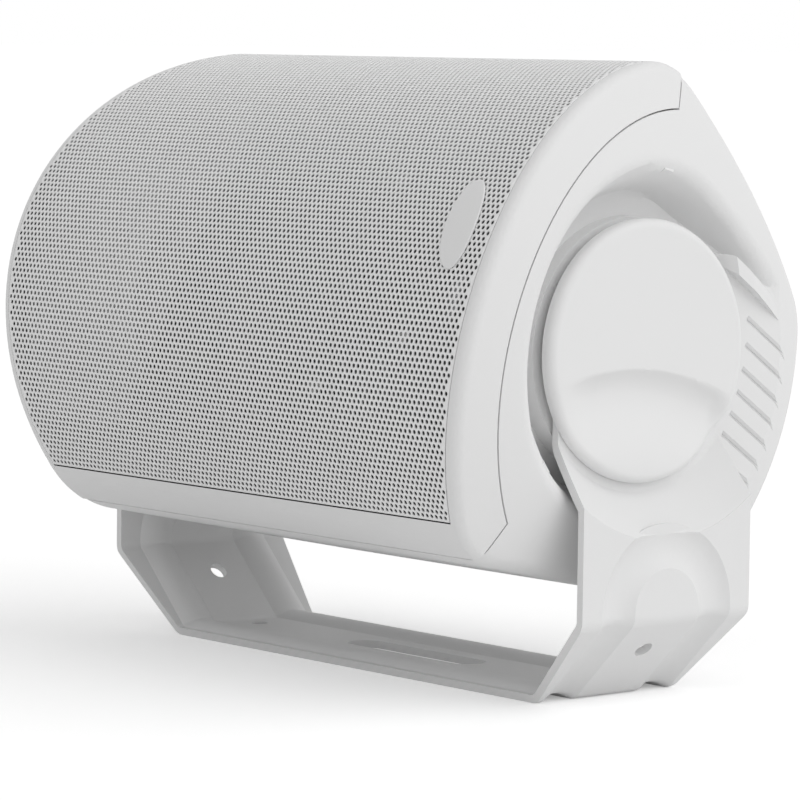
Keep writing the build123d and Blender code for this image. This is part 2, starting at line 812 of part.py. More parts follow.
# Woofer
woofer = driver_plane(woofer_x)
woofer_axis = driver_axis(woofer_x)
woofer_face = face.offset(baffle_front).shift_origin(pivot + across * woofer_x - back * baffle_front)
landing_radius = woofer_hole - 13
with BuildPart() as woofer_basket:
    with BuildSketch(woofer):
        with BuildLine():
            Polyline(
                (woofer_radius, 0), (woofer_radius, frame_thickness), (rim_inner, frame_thickness),
                (rim_inner, 0), (woofer_hole - 2.5, 0), (landing_radius, -landing_depth + frame_thickness),
                (basket_foot, -landing_depth + frame_thickness),
                (basket_foot - 1.5, -basket_depth + frame_thickness),
                (magnet_bore - 1, -basket_depth + frame_thickness), (magnet_bore - 1, -basket_depth),
                (basket_foot, -basket_depth), (basket_foot + 1.5, -landing_depth),
                (landing_radius + 1, -landing_depth), (woofer_hole - 1, 0), close=True)
        make_face()
    revolve(axis=woofer_axis)
    with BuildSketch(woofer_face.offset(-2)):
        with PolarLocations((landing_radius + woofer_hole) / 2 - 2, window_count):
            RectangleRounded(window_width, window_length, frame_thickness)
    extrude(amount=-landing_depth - 2, mode=Mode.SUBTRACT)
    with BuildSketch(woofer_face):
        with PolarLocations(woofer_screw_circle, 4, start_angle=45):
            Circle(driver_screw_radius)
    extrude(amount=frame_thickness, mode=Mode.SUBTRACT)
woofer_basket.part.label = "woofer_basket"
export_step(woofer_basket.part, "parts/woofer_basket.step")

with BuildPart() as woofer_gasket:
    with BuildSketch(woofer_face.offset(frame_thickness)):
        Circle(woofer_radius)
        Circle(rim_inner + rim_land + fit_gap, mode=Mode.SUBTRACT)
        with PolarLocations(woofer_screw_circle, 4, start_angle=45):
            Circle(driver_screw_head + seat_gap, mode=Mode.SUBTRACT)
    extrude(amount=frame_thickness)
woofer_gasket.part.label = "woofer_gasket"
export_step(woofer_gasket.part, "parts/woofer_gasket.step")

roll_mid = (rim_inner + cone_radius) / 2
roll_radius = (rim_inner - cone_radius) / 2
seat_level = frame_thickness
roll_top = seat_level + roll_thickness
with BuildPart() as woofer_surround:
    with BuildSketch(woofer):
        with BuildLine():
            Polyline((rim_inner, seat_level), (rim_inner + rim_land, seat_level),
                     (rim_inner + rim_land, roll_top), (rim_inner + roll_thickness, roll_top))
            ThreePointArc((rim_inner + roll_thickness, roll_top),
                          (roll_mid, seat_level + roll_radius + 1.5 * roll_thickness),
                          (cone_radius - roll_thickness, roll_top))
            Polyline((cone_radius - roll_thickness, roll_top), (cone_radius - cone_land, roll_top),
                     (cone_radius - cone_land, seat_level), (cone_radius, seat_level))
            ThreePointArc((cone_radius, seat_level), (roll_mid, seat_level + roll_radius),
                          (rim_inner, seat_level))
        make_face()
    revolve(axis=woofer_axis)
woofer_surround.part.label = "woofer_surround"
export_step(woofer_surround.part, "parts/woofer_surround.step")

cone_edge = cone_radius - cone_land
cone_slope = (seat_level + cone_neck_depth) / (cone_edge - coil_radius)
with BuildPart() as woofer_cone:
    with BuildSketch(woofer):
        with BuildLine():
            Polyline((cone_radius, seat_level - cone_thickness), (cone_radius, seat_level),
                     (cone_edge, seat_level), (coil_radius, -cone_neck_depth),
                     (coil_radius, -cone_neck_depth - 1.2 * cone_thickness),
                     (cone_edge + cone_thickness / 2, seat_level - cone_thickness), close=True)
        make_face()
    revolve(axis=woofer_axis)
woofer_cone.part.label = "woofer_cone"
export_step(woofer_cone.part, "parts/woofer_cone.step")

cap_seat = seat_level - cone_slope * (cone_edge - cap_radius)
with BuildPart() as woofer_dust_cap:
    add(domed_cap(woofer, woofer_axis, cap_radius, cap_height, cone_thickness, cap_seat))
woofer_dust_cap.part.label = "woofer_dust_cap"
export_step(woofer_dust_cap.part, "parts/woofer_dust_cap.step")

with BuildPart() as woofer_coil:
    with BuildSketch(woofer_face.offset(-cone_neck_depth)):
        Circle(coil_radius)
        Circle(coil_radius - coil_wall, mode=Mode.SUBTRACT)
    extrude(amount=-coil_length)
woofer_coil.part.label = "woofer_coil"
export_step(woofer_coil.part, "parts/woofer_coil.step")

spider_level = -landing_depth + frame_thickness
spider_waves = [(coil_radius, 0), *[(r, wave_height * ((i + 1) % 2)) for i, r in enumerate(wave_radii)],
                (basket_foot, 0), (landing_radius - frame_thickness, 0)]
with BuildPart() as woofer_spider:
    with BuildSketch(woofer):
        with BuildLine():
            Polyline(*[(r, spider_level + h) for r, h in spider_waves],
                     *[(r, spider_level + h + spider_skin) for r, h in reversed(spider_waves)], close=True)
        make_face()
    revolve(axis=woofer_axis)
woofer_spider.part.label = "woofer_spider"
export_step(woofer_spider.part, "parts/woofer_spider.step")

plate_face = woofer_face.offset(-basket_depth)
with BuildPart() as woofer_top_plate:
    with BuildSketch(plate_face):
        Circle(plate_radius)
        Circle(coil_radius + fit_gap, mode=Mode.SUBTRACT)
    extrude(amount=-plate_thickness)
woofer_top_plate.part.label = "woofer_top_plate"
export_step(woofer_top_plate.part, "parts/woofer_top_plate.step")

with BuildPart() as woofer_magnet:
    with BuildSketch(plate_face.offset(-plate_thickness)):
        Circle(magnet_radius)
        Circle(magnet_bore, mode=Mode.SUBTRACT)
    extrude(amount=-magnet_thickness)
    fillet(woofer_magnet.edges().filter_by(GeomType.CIRCLE).group_by(SortBy.RADIUS)[-1], magnet_round)
woofer_magnet.part.label = "woofer_magnet"
export_step(woofer_magnet.part, "parts/woofer_magnet.step")

with BuildPart() as woofer_yoke:
    with BuildSketch(plate_face.offset(-plate_thickness - magnet_thickness)):
        Circle(plate_radius)
    extrude(amount=-plate_thickness)
    with BuildSketch(plate_face.offset(-plate_thickness - magnet_thickness)):
        Circle(pole_radius)
    extrude(amount=plate_thickness + magnet_thickness)
woofer_yoke.part.label = "woofer_yoke"
export_step(woofer_yoke.part, "parts/woofer_yoke.step")

with BuildPart() as woofer_screws:
    with BuildSketch(face.offset(baffle_front + frame_thickness)):
        with Locations(*woofer_points):
            Circle(driver_screw_head)
    extrude(amount=driver_head_height)
    with BuildSketch(face.offset(baffle_front + frame_thickness)):
        with Locations(*woofer_points):
            Circle(driver_screw_radius)
    extrude(amount=-driver_screw_length)
    with BuildSketch(face.offset(baffle_front + frame_thickness + driver_head_height)):
        with Locations(*woofer_points):
            RegularPolygon(driver_screw_radius, 6)
    extrude(amount=-driver_screw_radius, mode=Mode.SUBTRACT)
woofer_screws.part.label = "woofer_screws"
export_step(woofer_screws.part, "parts/woofer_screws.step")

# Tweeter
tweeter = driver_plane(tweeter_x)
tweeter_axis = driver_axis(tweeter_x)
tweeter_face = face.offset(baffle_front).shift_origin(pivot + across * tweeter_x - back * baffle_front)
with BuildPart() as tweeter_plate:
    with BuildSketch(tweeter):
        with BuildLine():
            Polyline((tweeter_mouth, 0), (tweeter_radius, 0), (tweeter_radius, 0.6 * tweeter_thickness),
                     (tweeter_radius - 1.5, tweeter_thickness), (tweeter_mouth + 6, tweeter_thickness),
                     (tweeter_mouth, 0.4 * tweeter_thickness), close=True)
        make_face()
    revolve(axis=tweeter_axis)
    with BuildSketch(tweeter_face):
        with PolarLocations(tweeter_screw_circle, 4, start_angle=45):
            Circle(driver_screw_radius)
    extrude(amount=tweeter_thickness, mode=Mode.SUBTRACT)
tweeter_plate.part.label = "tweeter_plate"
export_step(tweeter_plate.part, "parts/tweeter_plate.step")

with BuildPart() as tweeter_dome:
    add(domed_cap(tweeter, tweeter_axis, dome_radius, dome_height, dome_skin, 0))
    with BuildSketch(tweeter_face):
        Circle(dome_radius)
        Circle(dome_radius - dome_skin, mode=Mode.SUBTRACT)
    extrude(amount=-motor_gap_depth / 2)
tweeter_dome.part.label = "tweeter_dome"
export_step(tweeter_dome.part, "parts/tweeter_dome.step")

with BuildPart() as tweeter_surround:
    with BuildSketch(tweeter_face):
        Circle(tweeter_mouth - seat_gap)
        Circle(dome_radius, mode=Mode.SUBTRACT)
    extrude(amount=dome_skin)
tweeter_surround.part.label = "tweeter_surround"
export_step(tweeter_surround.part, "parts/tweeter_surround.step")

with BuildPart() as tweeter_motor:
    with BuildSketch(tweeter_face):
        Circle(motor_radius)
    extrude(amount=-motor_depth)
    with BuildSketch(tweeter_face):
        Circle(motor_gap_outer)
        Circle(motor_gap_inner, mode=Mode.SUBTRACT)
    extrude(amount=-motor_gap_depth, mode=Mode.SUBTRACT)
    with BuildSketch(tweeter_face):
        Circle(motor_gap_inner)
    extrude(amount=-1, mode=Mode.SUBTRACT)
tweeter_motor.part.label = "tweeter_motor"
export_step(tweeter_motor.part, "parts/tweeter_motor.step")

with BuildPart() as tweeter_screws:
    with BuildSketch(face.offset(baffle_front + tweeter_thickness)):
        with Locations(*tweeter_points):
            Circle(driver_screw_head)
    extrude(amount=driver_head_height)
    with BuildSketch(face.offset(baffle_front + tweeter_thickness)):
        with Locations(*tweeter_points):
            Circle(driver_screw_radius)
    extrude(amount=-driver_screw_length)
    with BuildSketch(face.offset(baffle_front + tweeter_thickness + driver_head_height)):
        with Locations(*tweeter_points):
            RegularPolygon(driver_screw_radius, 6)
    extrude(amount=-driver_screw_radius, mode=Mode.SUBTRACT)
tweeter_screws.part.label = "tweeter_screws"
export_step(tweeter_screws.part, "parts/tweeter_screws.step")

# Crossover
board_front = rear.offset(board_back - board_thickness)
with BuildPart() as crossover_board:
    with BuildSketch(board_front):
        with Locations((board_x, 0)):
            Rectangle(2 * board_half_length, 2 * board_half_height)
        with Locations(*board_points):
            Circle(board_screw_radius, mode=Mode.SUBTRACT)
    extrude(amount=board_thickness)
crossover_board.part.label = "crossover_board"
export_step(crossover_board.part, "parts/crossover_board.step")

with BuildPart() as board_screws:
    with BuildSketch(board_front):
        with Locations(*board_points):
            Circle(2 * board_screw_radius)
    extrude(amount=-1.5 * board_screw_radius)
    with BuildSketch(board_front):
        with Locations(*board_points):
            Circle(board_screw_radius)
    extrude(amount=board_screw_length)
board_screws.part.label = "board_screws"
export_step(board_screws.part, "parts/board_screws.step")

with BuildPart() as inductor:
    with BuildSketch(board_front):
        with Locations((board_x - inductor_left, 0)):
            Circle(inductor_radius)
            Circle(inductor_bore, mode=Mode.SUBTRACT)
    extrude(amount=-inductor_height)
inductor.part.label = "inductor"
export_step(inductor.part, "parts/inductor.step")

with BuildPart() as capacitors:
    with BuildSketch(Plane(board_front.origin - back * capacitor_radius, x_dir=across, z_dir=up)):
        with Locations((board_x + capacitor_radius, 0)):
            Circle(capacitor_radius)
        with Locations((board_x + 3 * capacitor_radius + capacitor_gap, 0)):
            Circle(capacitor_radius)
    extrude(amount=capacitor_half_length, both=True)
capacitors.part.label = "capacitors"
export_step(capacitors.part, "parts/capacitors.step")

with BuildPart() as resistor:
    with BuildSketch(board_front):
        with Locations((board_x - resistor_left, resistor_up)):
            Rectangle(resistor_length, resistor_side)
    extrude(amount=-resistor_side)
resistor.part.label = "resistor"
export_step(resistor.part, "parts/resistor.step")

# Terminal cup, posts and nuts
cup_floor = pocket_back - cup_depth + cup_wall
with BuildPart() as terminal_cup:
    with BuildSketch(rear.offset(pocket_back)):
        RectangleRounded(2 * cup_half_length, 2 * cup_half_height, cup_corner)
    extrude(amount=cup_flange)
    with BuildSketch(rear.offset(pocket_back)):
        RectangleRounded(2 * cup_body_half_length, 2 * cup_body_half_height, cup_body_corner)
    extrude(amount=-cup_depth)
    with BuildSketch(rear.offset(pocket_back + cup_flange)):
        RectangleRounded(2 * (cup_body_half_length - cup_wall), 2 * (cup_body_half_height - cup_wall),
                         cup_body_corner - cup_wall / 2)
    extrude(amount=cup_floor - pocket_back - cup_flange, mode=Mode.SUBTRACT)
    with BuildSketch(rear.offset(pocket_back)):
        with Locations(*cup_points):
            Circle(board_screw_radius)
    extrude(amount=cup_flange, mode=Mode.SUBTRACT)
    with BuildSketch(rear.offset(cup_floor)):
        with GridLocations(post_spacing, 0, 2, 1):
            Circle(post_radius)
    extrude(amount=-cup_wall, mode=Mode.SUBTRACT)
terminal_cup.part.label = "terminal_cup"
export_step(terminal_cup.part, "parts/terminal_cup.step")

with BuildPart() as cup_screws:
    with BuildSketch(rear.offset(pocket_back + cup_flange)):
        with Locations(*cup_points):
            Circle(2 * board_screw_radius)
    extrude(amount=board_screw_radius)
    with BuildSketch(rear.offset(pocket_back + cup_flange)):
        with Locations(*cup_points):
            Circle(board_screw_radius)
    extrude(amount=-cup_flange - pad_thickness + 1.5)
cup_screws.part.label = "cup_screws"
export_step(cup_screws.part, "parts/cup_screws.step")

post_end = cup_floor + post_length
with BuildPart() as post_red:
    with BuildSketch(rear.offset(cup_floor)):
        with Locations((post_spacing / 2, 0)):
            RegularPolygon(post_collar, 6)
    extrude(amount=collar_height)
    with BuildSketch(rear.offset(cup_floor - cup_wall - post_tail)):
        with Locations((post_spacing / 2, 0)):
            Circle(post_radius)
    extrude(amount=post_length + cup_wall + post_tail)
    with BuildSketch(rear.offset(cup_floor - cup_wall)):
        with Locations((post_spacing / 2, 0)):
            RegularPolygon(post_collar, 6)
    extrude(amount=-collar_height)
    with BuildSketch(rear.offset(post_end)):
        with Locations((post_spacing / 2, 0)):
            Circle(socket_radius)
    extrude(amount=-socket_depth, mode=Mode.SUBTRACT)
post_red.part.label = "post_red"
export_step(post_red.part, "parts/post_red.step")

with BuildPart() as nut_red:
    with BuildSketch(rear.offset(cup_floor + collar_height + fit_gap)):
        with Locations((post_spacing / 2, 0)):
            Circle(nut_radius)
            Circle(post_radius + running_gap, mode=Mode.SUBTRACT)
            with PolarLocations(nut_radius + flute_radius / 2, nut_flutes):
                Circle(flute_radius, mode=Mode.SUBTRACT)
    extrude(amount=nut_length)
nut_red.part.label = "nut_red"
export_step(nut_red.part, "parts/nut_red.step")

with BuildPart() as post_black:
    add(mirror(post_red.part, about=Plane.YZ, mode=Mode.PRIVATE))
post_black.part.label = "post_black"
export_step(post_black.part, "parts/post_black.step")

with BuildPart() as nut_black:
    add(mirror(nut_red.part, about=Plane.YZ, mode=Mode.PRIVATE))
nut_black.part.label = "nut_black"
export_step(nut_black.part, "parts/nut_black.step")
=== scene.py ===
"""Looks of the outdoor patio speaker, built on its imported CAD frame."""

import json
import math

import bmesh
import bpy
import numpy as np
from bpy.props import FloatProperty, FloatVectorProperty, IntProperty, PointerProperty
from mathutils import Matrix, Vector


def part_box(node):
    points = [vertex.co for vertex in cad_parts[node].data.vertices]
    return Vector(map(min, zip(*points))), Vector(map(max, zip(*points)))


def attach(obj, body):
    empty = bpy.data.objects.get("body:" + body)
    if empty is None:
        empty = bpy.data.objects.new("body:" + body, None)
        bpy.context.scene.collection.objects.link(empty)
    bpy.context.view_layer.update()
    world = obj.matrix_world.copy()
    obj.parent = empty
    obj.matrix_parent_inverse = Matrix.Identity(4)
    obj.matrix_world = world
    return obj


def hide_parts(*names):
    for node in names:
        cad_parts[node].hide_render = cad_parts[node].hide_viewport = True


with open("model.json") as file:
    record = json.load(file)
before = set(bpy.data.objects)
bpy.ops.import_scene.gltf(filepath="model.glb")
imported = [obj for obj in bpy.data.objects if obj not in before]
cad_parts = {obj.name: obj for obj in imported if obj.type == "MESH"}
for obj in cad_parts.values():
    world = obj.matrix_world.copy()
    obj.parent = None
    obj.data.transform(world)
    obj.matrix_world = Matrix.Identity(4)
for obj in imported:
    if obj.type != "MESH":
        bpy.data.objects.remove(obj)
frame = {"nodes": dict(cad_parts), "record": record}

bl_info = {
    "name": "Outdoor patio speaker",
    "version": (1, 0, 0),
    "blender": (4, 5, 0),
    "location": "View3D > Sidebar > Patio speaker",
    "description": "Builds the looks of an outdoor patio speaker on its CAD frame",
    "category": "Object",
}


class PatioCabinetSettings(bpy.types.PropertyGroup):
    """Sizes of the cabinet's front that the grille follows."""

    pivot_height: FloatProperty(
        name="Pivot height", description="Height of the tilt axis", default=0.127, unit="LENGTH")
    tilt: FloatProperty(
        name="Tilt", description="How far the front is tipped up",
        default=math.radians(28.75), subtype="ANGLE")
    front_radius: FloatProperty(
        name="Front radius", description="Radius of the grille's outer face", default=0.1111, unit="LENGTH")
    front_centre: FloatProperty(
        name="Front centre", description="How far behind the pivot the front's centre lies",
        default=0.015, unit="LENGTH")
    end_reach: FloatProperty(
        name="End reach", description="Half the cabinet's length", default=0.143, unit="LENGTH")
    end_plan_radius: FloatProperty(
        name="End plan radius", description="Radius of an end seen from above",
        default=0.350, unit="LENGTH")
    end_plan_back: FloatProperty(
        name="End plan back", description="Where an end stands out most", default=-0.070, unit="LENGTH")
    end_crown_radius: FloatProperty(
        name="End crown radius", description="Radius of an end seen from the front",
        default=0.236, unit="LENGTH")


class PatioGrilleSettings(bpy.types.PropertyGroup):
    """Sizes of the perforated sheet."""

    half_height: FloatProperty(
        name="Half height", description="Half the grille's height", default=0.0914, unit="LENGTH")
    rim: FloatProperty(
        name="Rim", description="Distance of the sheet's edge from the cabinet's end",
        default=0.0049, unit="LENGTH")
    thickness: FloatProperty(
        name="Thickness", description="Thickness of the sheet round a hole", default=0.0005, unit="LENGTH")
    pitch: FloatProperty(
        name="Hole pitch", description="Distance between holes in a row", default=0.00244, unit="LENGTH")
    hole: FloatProperty(
        name="Hole diameter", description="Diameter of a hole", default=0.0016, unit="LENGTH")
    border: FloatProperty(
        name="Border", description="Least metal between a hole and the sheet's edge",
        default=0.0003, unit="LENGTH")
    strips: IntProperty(
        name="Strips", description="How many strips the sheet is built in", default=4, min=1, max=8)


class PatioBadgeSettings(bpy.types.PropertyGroup):
    """Sizes and place of the bare oval plate on the grille."""

    along: FloatProperty(
        name="Along", description="Distance of its centre from the middle", default=0.1200, unit="LENGTH")
    arc: FloatProperty(
        name="Up the arc", description="Height of its centre along the front's arc",
        default=0.0013, unit="LENGTH")
    half_length: FloatProperty(
        name="Half length", description="Half its longer side", default=0.0176, unit="LENGTH")
    half_width: FloatProperty(
        name="Half width", description="Half its shorter side", default=0.0079, unit="LENGTH")
    lean: FloatProperty(
        name="Lean", description="How far its top leans to the middle",
        default=math.radians(6.0), subtype="ANGLE")
    height: FloatProperty(
        name="Height", description="How far it stands off the sheet", default=0.0010, unit="LENGTH")
    edge: FloatProperty(
        name="Edge", description="Radius of its rounded edge", default=0.0006, unit="LENGTH")


class PatioKnobSettings(bpy.types.PropertyGroup):
    """Sizes of a clamp knob with its finger scoop."""

    radius: FloatProperty(
        name="Radius", description="Radius of the knob", default=0.0476, unit="LENGTH")
    face: FloatProperty(
        name="Face", description="Distance of its face from the middle", default=0.1273, unit="LENGTH")
    under: FloatProperty(
        name="Underside", description="Distance of its underside from the middle",
        default=0.1223, unit="LENGTH")
    shoulder: FloatProperty(
        name="Shoulder", description="Radius of its rounded edge", default=0.0034, unit="LENGTH")
    hub_radius: FloatProperty(
        name="Hub radius", description="Radius of the hub behind it", default=0.013, unit="LENGTH")
    hub_end: FloatProperty(
        name="Hub end", description="Distance of the hub's end from the middle",
        default=0.118, unit="LENGTH")
    stud_radius: FloatProperty(
        name="Stud radius", description="Radius of the stud moulded in it", default=0.004, unit="LENGTH")
    stud_end: FloatProperty(
        name="Stud end", description="Distance of the stud's end from the middle",
        default=0.1239, unit="LENGTH")
    turn: FloatProperty(
        name="Turn", description="How far the scoop is turned", default=math.radians(-5.0), subtype="ANGLE")
    scoop_radius: FloatProperty(
        name="Scoop radius", description="Radius of the scoop's upper edge", default=0.106, unit="LENGTH")
    scoop_drop: FloatProperty(
        name="Scoop drop", description="How far below the centre the scoop starts",
        default=0.0067, unit="LENGTH")
    scoop_depth: FloatProperty(
        name="Scoop depth", description="Greatest depth of the scoop", default=0.0043, unit="LENGTH")
    scoop_reach: FloatProperty(
        name="Scoop reach", description="How far below its edge the scoop is deepest",
        default=0.0085, unit="LENGTH")
    scoop_run: FloatProperty(
        name="Scoop run", description="How far down the scoop runs out", default=0.027, unit="LENGTH")


class PatioGrooveSettings(bpy.types.PropertyGroup):
    """Sizes of the grooves beside each knob."""

    count: IntProperty(
        name="Grooves", description="How many grooves a side has", default=10, min=2, max=20)
    pitch: FloatProperty(
        name="Pitch", description="Distance between grooves", default=0.00833, unit="LENGTH")
    field: FloatProperty(
        name="Field", description="Distance of the grooved field from the middle, beside the pivot",
        default=0.1242, unit="LENGTH")
    slope: FloatProperty(
        name="Slope", description="How far the field slopes in to the back",
        default=math.radians(12.4), subtype="ANGLE")
    start: FloatProperty(
        name="Start", description="Distance from the pivot at which the grooves start",
        default=0.063, unit="LENGTH")
    end: FloatProperty(
        name="End", description="Distance from the pivot that the grooves pass",
        default=0.120, unit="LENGTH")
    above: FloatProperty(
        name="Above", description="Width of a groove's sloping side", default=0.0016, unit="LENGTH")
    below: FloatProperty(
        name="Below", description="Half the width of a groove's floor", default=0.00065, unit="LENGTH")
    depth: FloatProperty(
        name="Depth", description="Depth of a groove", default=0.0020, unit="LENGTH")


class PatioRecessSettings(bpy.types.PropertyGroup):
    """Sizes of the slope that leads into the recess round each knob, clear of the bracket's arm."""

    floor: FloatProperty(
        name="Floor", description="Distance of the recess floor from the middle",
        default=0.109, unit="LENGTH")
    boss: FloatProperty(
        name="Boss", description="Radius of the boss in the recess", default=0.048, unit="LENGTH")
    radius: FloatProperty(
        name="Radius", description="Radius of the recess at its floor", default=0.054, unit="LENGTH")
    flare: FloatProperty(
        name="Flare", description="How far the recess wall leans out",
        default=math.radians(26.0), subtype="ANGLE")
    foot: FloatProperty(
        name="Foot", description="Height of the slope over the floor at the boss",
        default=0.0025, unit="LENGTH")
    rise: FloatProperty(
        name="Rise", description="Height of the slope over the floor at the wall",
        default=0.0115, unit="LENGTH")
    sag: FloatProperty(
        name="Sag", description="How hollow the slope is", default=0.0015, unit="LENGTH")
    root: FloatProperty(
        name="Root", description="How far the slope is let into the walls", default=0.0009, unit="LENGTH")
    start: FloatProperty(
        name="Start", description="How far along the straight side the slope starts",
        default=0.012, unit="LENGTH")
    lead: FloatProperty(
        name="Lead", description="Distance over which the slope comes up", default=0.050, unit="LENGTH")
    end: FloatProperty(
        name="End", description="Angle at which the slope runs out",
        default=math.radians(222.0), subtype="ANGLE")
    fade: FloatProperty(
        name="Fade", description="Angle over which the slope runs out",
        default=math.radians(40.0), subtype="ANGLE")


class PatioDriverSettings(bpy.types.PropertyGroup):
    """Room that the fixed rings leave for the cone and the dome to travel."""

    spider_sink: FloatProperty(
        name="Spider sink", description="How far the spider's inner edge is set back",
        default=0.00075, unit="LENGTH")
    dome_room: FloatProperty(
        name="Dome room", description="Gap between the dome and its surround",
        default=0.0001, unit="LENGTH")
    ring_reach: FloatProperty(
        name="Ring reach", description="Width of the inner edge that makes room",
        default=0.004, unit="LENGTH")


class PatioColourSettings(bpy.types.PropertyGroup):
    """Colours of what is seen from outside, named like the record's material slots."""

    white_plastic: FloatVectorProperty(
        name="Cabinet", description="Colour of the cabinet and the knobs", default=(0.80, 0.80, 0.80),
        subtype="COLOR", min=0.0, max=1.0)
    white_powder_coat: FloatVectorProperty(
        name="Bracket", description="Colour of the bracket", default=(0.78, 0.78, 0.78),
        subtype="COLOR", min=0.0, max=1.0)
    white_grille: FloatVectorProperty(
        name="Grille", description="Colour of the perforated sheet", default=(0.88, 0.88, 0.88),
        subtype="COLOR", min=0.0, max=1.0)
    badge_face: FloatVectorProperty(
        name="Badge", description="Colour of the bare oval plate", default=(0.80, 0.80, 0.80),
        subtype="COLOR", min=0.0, max=1.0)


class PatioStageSettings(bpy.types.PropertyGroup):
    """Camera and light."""

    camera_place: FloatVectorProperty(
        name="Camera place", description="Where the camera stands", default=(1.2086, -1.0266, 0.2380),
        subtype="XYZ", unit="LENGTH")
    azimuth: FloatProperty(
        name="Azimuth", description="Camera turn about the vertical",
        default=math.radians(49.92), subtype="ANGLE")
    pitch: FloatProperty(
        name="Pitch", description="Camera look down", default=math.radians(4.976), subtype="ANGLE")
    roll: FloatProperty(
        name="Roll", description="Camera roll", default=math.radians(0.71), subtype="ANGLE")
    lens: FloatProperty(
        name="Lens", description="Focal length on a 36 mm sensor, in millimetres", default=187.7)
    key_power: FloatProperty(
        name="Key light", description="Strength of the soft light from above and behind", default=0.88)
    side_power: FloatProperty(
        name="Side light", description="Strength of the soft light on the cabinet's end", default=0.36)
    sky: FloatProperty(
        name="Sky", description="Strength of the even light from all round", default=0.57)
    floor_glow: FloatProperty(
        name="Floor glow", description="What the floor shows beyond the light that falls on it",
        default=0.28)


def node_group(name, inputs, outputs):
    """A new shader node group with its sockets and its two end nodes."""
    group = bpy.data.node_groups.new(name, "ShaderNodeTree")
    for label, kind, default in inputs:
        socket = group.interface.new_socket(label, in_out="INPUT", socket_type=kind)
        socket.default_value = default
    for label, kind in outputs:
        group.interface.new_socket(label, in_out="OUTPUT", socket_type=kind)
    return group, group.nodes.new("NodeGroupInput"), group.nodes.new("NodeGroupOutput")


CLOUD_SCALE = 18.0
CLOUD_DETAIL = 4.0
GRAIN_DETAIL = 3.0
GRAIN_HEIGHT = 0.0002
MEAN_NOISE = 0.5


def surface_group():
    """Fine grain, soft tone changes and uneven gloss that all materials share."""
    name = "PatioSurface"
    if name in bpy.data.node_groups:
        return bpy.data.node_groups[name]
    group, start, end = node_group(
        name,
        [("Base", "NodeSocketColor", (0.8, 0.8, 0.8, 1.0)), ("Tone", "NodeSocketFloat", 0.03),
         ("Roughness", "NodeSocketFloat", 0.5), ("Spread", "NodeSocketFloat", 0.06),
         ("Grain", "NodeSocketFloat", 900.0), ("Depth", "NodeSocketFloat", 0.1)],
        [("Colour", "NodeSocketColor"), ("Roughness", "NodeSocketFloat"), ("Normal", "NodeSocketVector")])
    nodes, links = group.nodes, group.links
    place = nodes.new("ShaderNodeTexCoord")
    cloud = nodes.new("ShaderNodeTexNoise")
    cloud.inputs["Scale"].default_value = CLOUD_SCALE
    cloud.inputs["Detail"].default_value = CLOUD_DETAIL
    grain = nodes.new("ShaderNodeTexNoise")
    grain.inputs["Detail"].default_value = GRAIN_DETAIL
    links.new(place.outputs["Object"], cloud.inputs["Vector"])
    links.new(place.outputs["Object"], grain.inputs["Vector"])
    links.new(start.outputs["Grain"], grain.inputs["Scale"])
    centred = nodes.new("ShaderNodeMath")
    centred.operation = "SUBTRACT"
    centred.inputs[1].default_value = MEAN_NOISE
    links.new(cloud.outputs["Fac"], centred.inputs[0])
    tone = nodes.new("ShaderNodeMath")
    tone.operation = "MULTIPLY_ADD"
    tone.inputs[2].default_value = 1.0
    links.new(centred.outputs[0], tone.inputs[0])
    links.new(start.outputs["Tone"], tone.inputs[1])
    shade = nodes.new("ShaderNodeVectorMath")
    shade.operation = "SCALE"
    links.new(start.outputs["Base"], shade.inputs[0])
    links.new(tone.outputs[0], shade.inputs["Scale"])
    links.new(shade.outputs[0], end.inputs["Colour"])
    rough = nodes.new("ShaderNodeMath")
    rough.operation = "MULTIPLY_ADD"
    rough.use_clamp = True
    links.new(centred.outputs[0], rough.inputs[0])
    links.new(start.outputs["Spread"], rough.inputs[1])
    links.new(start.outputs["Roughness"], rough.inputs[2])
    links.new(rough.outputs[0], end.inputs["Roughness"])
    bump = nodes.new("ShaderNodeBump")
    bump.inputs["Distance"].default_value = GRAIN_HEIGHT
    links.new(grain.outputs["Fac"], bump.inputs["Height"])
    links.new(start.outputs["Depth"], bump.inputs["Strength"])
    links.new(bump.outputs["Normal"], end.inputs["Normal"])
    return group


def finish_material(name, base, rough, metal=0.0, tone=0.03, spread=0.06, grain=900.0, depth=0.1, coat=0.0,
                    gloss=0.5):
    """A Principled material whose colour, roughness and normal come from the shared surface group."""
    if name in bpy.data.materials:
        return bpy.data.materials[name]
    material = bpy.data.materials.new(name)
    material.use_nodes = True
    nodes, links = material.node_tree.nodes, material.node_tree.links
    shader = nodes["Principled BSDF"]
    shader.inputs["Specular IOR Level"].default_value = gloss
    shader.inputs["Metallic"].default_value = metal
    shader.inputs["Coat Weight"].default_value = coat
    surface = nodes.new("ShaderNodeGroup")
    surface.node_tree = surface_group()
    surface.inputs["Base"].default_value = (*base, 1.0)
    surface.inputs["Tone"].default_value = tone
    surface.inputs["Roughness"].default_value = rough
    surface.inputs["Spread"].default_value = spread
    surface.inputs["Grain"].default_value = grain
    surface.inputs["Depth"].default_value = depth
    links.new(surface.outputs["Colour"], shader.inputs["Base Color"])
    links.new(surface.outputs["Roughness"], shader.inputs["Roughness"])
    links.new(surface.outputs["Normal"], shader.inputs["Normal"])
    material.diffuse_color = (*base, 1.0)
    return material


